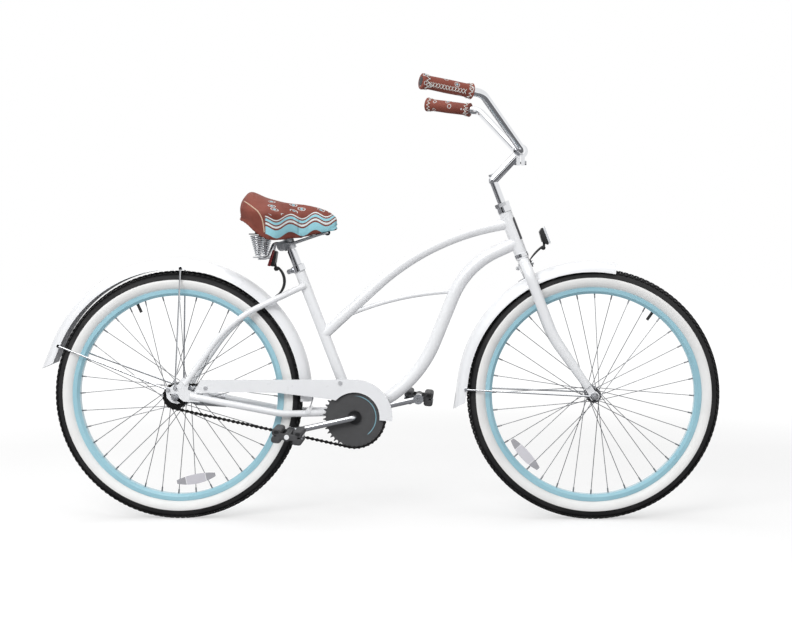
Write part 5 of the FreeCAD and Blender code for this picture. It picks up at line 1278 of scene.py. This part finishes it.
def seat_clamp():
    bm = bmesh.new()
    turned(bm, clamp_foot, seat_up, in_mm(clamp_ring), 64, closed=True)
    middle = clamp_height / 2
    outline = [(ear_from, ear_edge), (ear_from, clamp_height - ear_edge)]
    for a in (math.pi / 2 - math.pi * k / 10 for k in range(11)):
        outline.append((bolt_back + ear_radius * math.cos(a), middle + ear_radius * math.sin(a)))
    for sides in ((1, 7), (-7, -1)):
        skin(bm, [[on_clamp(back, up, y) for back, up in outline] for y in sides])
    for profile, sides in ((bolt_head, 32), (bolt_shank, 16), (bolt_nut, 6)):
        turned(bm, on_clamp(bolt_back, middle), (0, -1, 0), in_mm(profile), sides)
    mesh = plain_mesh("seat_clamp_collar", bm)
    keep("seat_clamp_collar", mesh, body_of("seat_clamp"), ("seat_clamp",), (chrome,))
    print("seat clamp:", len(mesh.polygons), "faces")


seat_clamp()

# %% [markdown]
# ## Grips
# Leather sleeves laced round the bar ends. Each is lathed with a flare at both ends and a slight swell for
# the palm. White lacing crosses over the seam on the outer side and zigzags round both flares. One tree
# lays every stitch: a short thread at each point, turned by the angle that the point carries. A drawn
# thread would lie flat, and a real one shows on the grip's outline.

# %% Grip sizes
bar_corner = Vector((front_axle.x - 295.2 * MM, 266.5 * MM, 1108.1 * MM))
bar_end = Vector((front_axle.x - 441.3 * MM, 328.0 * MM, 1133.5 * MM))
grip_sides = 56
grip_length = 132.0 * MM
grip_profile = ((-4.0, 6.0), (-4.0, 17.0), (-2.6, 19.4), (0.0, 20.2), (3.0, 19.6), (7.0, 17.6), (14.0, 16.6),
                (40.0, 16.9), (66.0, 17.3), (92.0, 16.9), (116.0, 16.6), (124.0, 17.4), (128.0, 19.2),
                (131.0, 19.8), (132.0, 18.6), (132.0, 11.3))
# A black disc on each grip's outer end: painted shade for the end that faces away from the light.
end_shade_profile = ((-4.5, 10.5), (-4.3, 11.5), (-3.0, 11.5))
seam_drop = math.radians(16)
seam_from = 15.0 * MM
seam_height = 17.3 * MM
seam_cross = 0.25 * MM
seam_lean = 0.5
flare_places = (8.0 * MM, grip_length - 9.0 * MM)
flare_height = 18.3 * MM
flare_stitches = 22
flare_lean = 0.7
stitch_pitch = 8.4 * MM
stitch_length = 12.5 * MM
stitch_radius = 0.85 * MM
print("grip", round(grip_length, 3), "m long")


# %% Lacing
def stitch_tree():
    g = Grower("lacing_stitches", {"Length": "Float", "Radius": "Float"})
    thread = g.node("GeometryNodeMeshCylinder", None, {"Vertices": 6, "Radius": g.given("Radius"),
                                                       "Depth": g.given("Length"), "Side Segments": 2})
    turns = [g.carried(label) for label in "abc"]
    g.end(g.planted(g.given("Geometry"), thread, Rotation=g.vector(*turns)))
    return g


stitches = stitch_tree()


def laced(places, directions, name):
    """Lay one thread at each place along its direction."""
    turns = [d.to_track_quat("Z", "Y").to_euler() for d in directions]
    cloud = point_cloud(name, places, a=[t.x for t in turns], b=[t.y for t in turns], c=[t.z for t in turns])
    return stitches.grow(cloud, {"Length": stitch_length, "Radius": stitch_radius,
                                 "Material": lacing_thread})


def grip_lacing(base, axis, seam, name):
    """Crossed stitches along the seam, then a zigzag round each flare."""
    around = axis.cross(seam)
    places, directions = [], []
    for i in range(int((grip_length - 2 * seam_from) / stitch_pitch)):
        centre = base + axis * (seam_from + i * stitch_pitch) + seam * seam_height
        for sign in (1, -1):
            places.append(centre + seam * (seam_cross * sign))
            directions.append(around * math.cos(seam_lean) + axis * (sign * math.sin(seam_lean)))
    for height in flare_places:
        for k in range(flare_stitches):
            angle = 2 * math.pi * k / flare_stitches
            out = seam * math.cos(angle) + around * math.sin(angle)
            sign = 1 if k % 2 else -1
            places.append(base + axis * height + out * flare_height)
            directions.append(axis * math.cos(flare_lean) + axis.cross(out) * (sign * math.sin(flare_lean)))
    return laced(places, directions, name)


# %% Both grips
def grip(side, leather):
    """side is 1 for the left grip and -1 for the right one."""
    prefix = "left" if side > 0 else "right"
    base = Vector((bar_end.x, side * bar_end.y, bar_end.z))
    corner = Vector((bar_corner.x, side * bar_corner.y, bar_corner.z))
    axis = (corner - base).normalized()
    bm = bmesh.new()
    turned(bm, base, axis, in_mm(grip_profile), grip_sides)
    # The black disc on the outer end is painted shade.
    turned(bm, base, axis, in_mm(end_shade_profile), grip_sides, material=1)
    sleeve = plain_mesh(prefix + "_grip_sleeve", bm)
    outward = Vector((0, side, 0))
    outward = (outward - axis * outward.dot(axis)).normalized()
    down = axis.cross(outward)
    down = -down if down.z > 0 else down
    seam = (outward * math.cos(seam_drop) + down * math.sin(seam_drop)).normalized()
    lacing = grip_lacing(base, axis, seam, prefix + "_lacing")
    keep(prefix + "_grip_sleeve", sleeve, "fork", ("grips",), (leather, black_plastic))
    keep(prefix + "_grip_lacing", lacing, "fork")
    print(prefix, "grip:", len(sleeve.polygons), "faces,", len(lacing.polygons), "in the lacing")


sleeve_leather = grip_leather()
for side in (1, -1):
    grip(side, sleeve_leather)

# %% [markdown]
# ## Pedals
# Resin block pedals: two treads on a centre barrel, tied by end plates. Each tread is an upper and a lower
# ribbed lobe with a clear reflector between them, and a real cap, painted white as a painted highlight,
# closes the spindle end. A thin black plate inside each upper lobe's end is painted shade for a recessed
# hole. The lobes are lofted along the spindle, with each rib a slightly larger section, so the grip ribs are
# real shape.

# %% Pedal sizes
pedal_span = 80.0 * MM
pedal_tilt = math.radians(6)
lobe_width = 25.0 * MM
lobe_height = 18.5 * MM
lobe_rise = 9.8 * MM
lobe_corner = 7.5 * MM
rib_count = 9
rib_depth = 0.9 * MM
rib_margin = 4.0 * MM
rib_shape = ((0.08, rib_depth), (0.2, 0.0), (0.68, 0.0), (0.8, rib_depth))
# Size of the thin black plate that is painted shade for a recessed hole in each upper lobe's end.
hole_shade_plate = (6.4 * MM, 4.4 * MM, 4.2 * MM)
side_lens = (2.0 * MM, 4.6 * MM, 0.8 * MM)
lens_margin = 12.0 * MM
end_plate = (pedal_span / 2 - 12.0 * MM, 8.0 * MM, 4.0 * MM)
plate_depth = 6.0 * MM
barrel_radius = 9.5 * MM
flange_radius = 11.0 * MM
cap_profile = ((-2.0, 6.8), (-0.8, 6.8), (0.2, 5.8))
print("pedal", round(pedal_span, 3), "m from tread to tread")


# %% Rounded blocks
def rounded_section(half_width, half_height, radius, steps=5):
    """Outline of a rounded rectangle as (x, z) points."""
    points = []
    for quarter in range(4):
        cx = (half_width - radius) * (1 if quarter in (0, 3) else -1)
        cz = (half_height - radius) * (1 if quarter in (0, 1) else -1)
        for i in range(steps + 1):
            angle = math.pi / 2 * (quarter + i / steps)
            points.append((cx + radius * math.cos(angle), cz + radius * math.sin(angle)))
    return points


def block(bm, centre, size, stations, material=0):
    """Loft a rounded section along Y. The size is half width, half height and corner radius. Each station
    is a place and how much the section shrinks there."""
    half_width, half_height, radius = size
    rings = []
    for y, less in stations:
        section = rounded_section(half_width - less, half_height - less, max(radius - less, 0.4 * MM))
        rings.append([Vector((centre[0] + x, y, centre[1] + z)) for x, z in section])
    skin(bm, rings, material=material)


def lobe_stations(inner, outer, toward):
    """Along the spindle the lobe swells at each rib and closes in at both ends."""
    run = (abs(outer - inner) - 2 * rib_margin) / rib_count
    stations = [(inner + toward * 1 * MM, 2.5 * MM), (inner + toward * 3 * MM, rib_depth)]
    for i in range(rib_count):
        start = inner + toward * (rib_margin + i * run)
        stations += [(start + toward * run * share, less) for share, less in rib_shape]
    return stations + [(outer - toward * 3 * MM, rib_depth), (outer - toward * 1 * MM, 2.5 * MM)]


# %% Both pedals
def pedal(name, joint, body):
    low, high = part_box(name)
    place = joint_place(joint)
    inner, outer = sorted((low.y, high.y), key=abs)
    toward = 1 if outer > inner else -1
    length = abs(outer - inner)
    bm = bmesh.new()
    stations = lobe_stations(inner, outer, toward)
    tread_x = (pedal_span - lobe_width) / 2
    ends = ((inner, toward), (outer, -toward))
    for sign in (-1, 1):
        for rise in (-lobe_rise, lobe_rise):
            block(bm, (sign * tread_x, rise), (lobe_width / 2, lobe_height / 2, lobe_corner), stations)
        for edge, inside in ends:
            # A thin black plate just inside each upper lobe's end is painted shade, standing for the recess
            # of a hole.
            hole_shade = [(edge + inside * 0.7 * MM, 0.0), (edge + inside * 2.5 * MM, 0.0)]
            block(bm, (sign * tread_x, lobe_rise), hole_shade_plate, hole_shade, 2)
        lens = [(inner + toward * lens_margin, 0.0), (outer - toward * lens_margin, 0.0)]
        block(bm, (sign * (pedal_span / 2 - 3.0 * MM), 0.0), side_lens, lens, 1)
    for edge, inside in ends:
        plate = [(edge + inside * 0.6 * MM, 1.2 * MM), (edge + inside * 1.8 * MM, 0.0),
                 (edge + inside * plate_depth, 0.0)]
        block(bm, (0.0, 0.0), end_plate, plate)
    axis = Vector((0, toward, 0))
    barrel = [(1.2 * MM, 9 * MM), (2 * MM, flange_radius), (length * 0.3, barrel_radius),
              (length * 0.7, barrel_radius), (length - 2 * MM, flange_radius), (length - 1.2 * MM, 9 * MM)]
    turned(bm, (0, inner, 0), axis, barrel, 32)
    # The spindle cap is painted white as a painted highlight on its end.
    turned(bm, (0, outer, 0), axis, in_mm(cap_profile), 24, material=3)
    mesh = plain_mesh(name + "_body", bm)
    mesh.transform(Matrix.Translation((place.x, 0, place.z)) @ Matrix.Rotation(pedal_tilt, 4, "Y"))
    keep(name + "_body", mesh, body, (name,),
         (resin, clear_lens, black_plastic, white_enamel))
    print(name, len(mesh.polygons), "faces")


pedal("right_pedal", "right_pedal_spin", "right_pedal")
pedal("left_pedal", "left_pedal_spin", "left_pedal")

# %% [markdown]
# ## Reflectors
# A moulded housing carries a thick lens, and a strap holds it to the frame. The strap bends in one arc and
# thins towards its bolt, so it is a rounded section carried along that arc. Housing and lens are plates
# with soft edges.


# %% Plates and straps
def soft_plate(bm, outline, half, radius):
    """A plate between -half and half in Y over an (x, z) outline, its edges rounded."""
    made = bmesh.new()
    sides = [[made.verts.new((x, y, z)) for x, z in outline] for y in (-half, half)]
    for side in sides:
        made.faces.new(side)
    for i in range(len(outline)):
        k = (i + 1) % len(outline)
        made.faces.new((sides[0][i], sides[0][k], sides[1][k], sides[1][i]))
    bmesh.ops.recalc_face_normals(made, faces=made.faces)
    bmesh.ops.bevel(made, geom=made.edges[:], offset=radius, segments=3, profile=0.5, affect="EDGES")
    mesh = bpy.data.meshes.new("plate")
    made.to_mesh(mesh)
    made.free()
    bm.from_mesh(mesh)
    bpy.data.meshes.remove(mesh)


def strap(bm, line, halves):
    """A flat strap along (x, z) points; halves gives half its thickness at each, in millimetres."""
    rings = []
    for i, (x, z) in enumerate(line):
        before, after = line[max(i - 1, 0)], line[min(i + 1, len(line) - 1)]
        ahead = Vector((after[0] - before[0], 0, after[1] - before[1])).normalized()
        square = Vector((-ahead.z, 0, ahead.x))
        section = rounded_section(halves[i] * MM, strap_half, 0.9 * halves[i] * MM)
        rings.append([Vector((x, 0, z)) + square * a + Vector((0, b, 0)) for a, b in section])
    skin(bm, rings)


# %% Reflector sizes
reflector_half = 23.5 * MM
house_half = 22.5 * MM
house_edge = 1.2 * MM
strap_half = 6.0 * MM
arc_steps = 16
arc_shares = [i / arc_steps for i in range(arc_steps + 1)]
rear_shape = {
    "lens": ((260.0, 724.0), (245.3, 681.0), (253.6, 679.4), (266.6, 721.4)), "lens_edge": 1.6 * MM,
    "house": ((266.8, 720.4), (253.9, 680.2), (261.5, 678.5), (266.0, 689.0), (270.5, 716.0)),
    "stalk": ((263.5, 690.0), (264.2, 682.0), (265.8, 674.0)), "stalk_half": (3.4, 3.2, 3.2),
    "knuckle": (267.2, 672.8), "knuckle_radius": 6.2,
    "arc": ((270.5, 676.5), (288.4, 641.0), (273.5, 604.8)), "tail": [(268.5, 602.2), (264.0, 600.0)],
    "strap_half": [2.6 + 1.3 * math.sin(math.pi * share) for share in arc_shares] + [2.0, 1.2]}
front_shape = {
    "lens": ((57.0, 778.2), (61.8, 781.2), (78.6, 737.0), (73.4, 735.4)), "lens_edge": 1.2 * MM,
    "house": ((55.0, 777.4), (57.6, 776.6), (73.0, 735.2), (71.0, 732.0), (55.6, 740.0), (51.6, 754.0),
              (48.2, 767.0)),
    "stalk": ((60.0, 744.0), (61.4, 736.0), (61.2, 727.0)), "stalk_half": (3.2, 3.2, 3.0),
    "knuckle": (59.2, 724.6), "knuckle_radius": 6.0,
    "arc": ((57.0, 727.6), (39.5, 712.0), (24.71, 693.28)), "tail": [(31.78, 674.57)],
    "strap_half": [2.8 - 1.4 * share ** 3 for share in arc_shares] + [1.25]}
print("reflectors", round(2 * reflector_half, 3), "m wide")


# %% Both reflectors
def reflector(end, origin, shape, lens_material):
    """Housing and lens at one end of the bicycle, from a shape in millimetres ahead of the origin."""
    def placed(points):
        return [(origin + x * MM, z * MM) for x, z in points]

    body = body_of(end + "_reflector")
    bm = bmesh.new()
    soft_plate(bm, placed(shape["house"]), house_half, house_edge)
    strap(bm, placed(shape["stalk"]), shape["stalk_half"])
    x, z = placed([shape["knuckle"]])[0]
    radius = shape["knuckle_radius"]
    turned(bm, (x, 0, z), (0, 1, 0), in_mm(((-8, 4.5), (-7.2, radius), (7.2, radius), (8, 4.5))), 32)
    strap(bm, placed(arc_through(*shape["arc"], arc_steps) + shape["tail"]), shape["strap_half"])
    name = end + "_reflector_housing"
    keep(name, plain_mesh(name, bm), body, (end + "_reflector",), (black_plastic,))
    bm = bmesh.new()
    soft_plate(bm, placed(shape["lens"]), reflector_half, shape["lens_edge"])
    name = end + "_reflector_face"
    keep(name, plain_mesh(name, bm), body, (end + "_reflector_lens",), (lens_material,))
    print(end, "reflector on", body)


reflector("rear", rear_axle.x, rear_shape, red_lens)
reflector("front", front_axle.x - 190.1 * MM, front_shape, clear_lens)

# %% [markdown]
# ## Studio
# A white floor and two soft boxes. The floor takes a real shadow near the bicycle and fades to plain white
# further out. Grey and black cards stand round it, seen by mirrors alone: bright metal needs something dark
# to show, or it looks like paint.

# %% Floor
floor_reach = 30.0
fade_near = 1.5
fade_far = 3.4
shadow_lift = 0.5
floor_glow = 1.09


def camera_sees(f):
    """1 for rays that show the background: straight, mirrored or refracted."""
    path = f.node("ShaderNodeLightPath", output="Is Camera Ray")
    seen = path + path.also("Is Glossy Ray") + path.also("Is Transmission Ray")
    return seen.call("MINIMUM", 1.0)


def floor_finish():
    f = Finish("floor_white", {"Roughness": 0.9, "Specular IOR Level": 0.1})
    p = f.place()
    x, y, z = f.xyz(p)
    f.set("Base Color", f.tint(f.noise(p, 3.0), rgb(0.93, 0.93, 0.93), rgb(0.95, 0.95, 0.95)))
    distance = (x * x + y * y).call("SQRT")
    glow = f.node("ShaderNodeEmission", None, {"Color": rgb(1, 1, 1), "Strength": floor_glow})
    surface = Value(f, f.shader.outputs["BSDF"])
    seen = camera_sees(f)
    bounce = f.node("ShaderNodeBsdfDiffuse", None, {"Color": rgb(0.5, 0.5, 0.51)})
    near = f.node("ShaderNodeMixShader", None, {0: seen, 1: bounce, 2: surface})
    fade = (shadow_lift + (1.0 - shadow_lift) * distance.step(fade_near, fade_far)) * seen
    mixed = f.node("ShaderNodeMixShader", None, {0: fade, 1: near, 2: glow})
    f.feed(f.tree.nodes["Material Output"].inputs["Surface"], mixed)
    return f.material


def flat_panel(name, width, height, place, facing, material):
    mesh = bpy.data.meshes.new(name)
    corners = ((-1, -1), (1, -1), (1, 1), (-1, 1))
    mesh.from_pydata([(width / 2 * x, height / 2 * y, 0) for x, y in corners], [], [(0, 1, 2, 3)])
    mesh.materials.append(material)
    turn = Vector(facing).to_track_quat("Z", "Y").to_matrix().to_4x4()
    mesh.transform(Matrix.Translation(place) @ turn)
    panel = linked(name, mesh)
    return panel


flat_panel("floor", floor_reach, floor_reach, (0, 0, 0), (0, 0, 1), floor_finish())
print("floor", floor_reach, "m wide")

# %% Light
flag_black = moulded("flag_black", rgb(0.01, 0.01, 0.01), rgb(0.015, 0.015, 0.015), 0.9)
flag_dim = moulded("flag_dim", rgb(0.19, 0.19, 0.20), rgb(0.21, 0.21, 0.22), 0.9)
flag_grey = moulded("flag_grey", rgb(0.43, 0.44, 0.46), rgb(0.47, 0.48, 0.50), 0.9)
horizon_light = 0.40
zenith_light = 0.52


def world_finish():
    world = bpy.data.worlds.new("studio")
    scene.world = world
    world.use_nodes = True
    g = Graph(world.node_tree)
    world.node_tree.nodes.clear()
    seen = camera_sees(g)
    sky = g.node("ShaderNodeTexCoord", output="Generated")
    height = g.node("ShaderNodeSeparateXYZ", None, {0: sky}).also(2)
    level = horizon_light + (zenith_light - horizon_light) * height.step(0.0, 0.8)
    lit = g.node("ShaderNodeBackground", None, {"Color": rgb(1, 1, 1), "Strength": level})
    shown = g.node("ShaderNodeBackground", None, {"Color": rgb(1, 1, 1), "Strength": 1.0})
    out = world.node_tree.nodes.new("ShaderNodeOutputWorld")
    g.feed(out.inputs["Surface"], g.node("ShaderNodeMixShader", None, {0: seen, 1: lit, 2: shown}))


def soft_box(name, place, aim, size, power):
    data = bpy.data.lights.new(name, "AREA")
    data.shape = "RECTANGLE"
    data.size = size[0]
    data.size_y = size[1]
    data.energy = power
    lamp = linked(name, data)
    lamp.location = place
    lamp.rotation_euler = (Vector(aim) - Vector(place)).to_track_quat("-Z", "Y").to_euler()


world_finish()
soft_box("top_box", (-0.4, -0.4, 3.6), (0, 0, 0.3), (4.5, 3.0), 56)
soft_box("front_box", (-1.4, -3.8, 2.9), (0, 0, 0.5), (2.8, 1.8), 122)


# %% Cards
def flag(name, width, height, place, facing, material):
    """A card that only mirrors show: it takes no light away and no camera sees it."""
    card = flat_panel(name, width, height, place, facing, material)
    card.visible_camera = False
    card.visible_diffuse = False
    card.visible_shadow = False
    card.visible_transmission = False


flag("front_card", 3.5, 1.9, (-1.35, -2.22, 0.95), (0, 1, 0), flag_grey)
flag("side_card", 1.9, 4.8, (-3.1, 0.2, 0.95), (1, 0, 0), flag_grey)
flag("front_flag", 1.05, 1.9, (-1.07, -2.2, 0.95), (0, 1, 0), flag_black)
flag("low_flag", 1.6, 0.55, (1.2, -2.2, 0.28), (0, 1, 0), flag_black)
flag("floor_flag", 6.2, 3.8, (0.0, -0.5, 0.01), (0, 0, 1), flag_dim)
print("lights:", len(bpy.data.lights), "soft boxes and five cards")
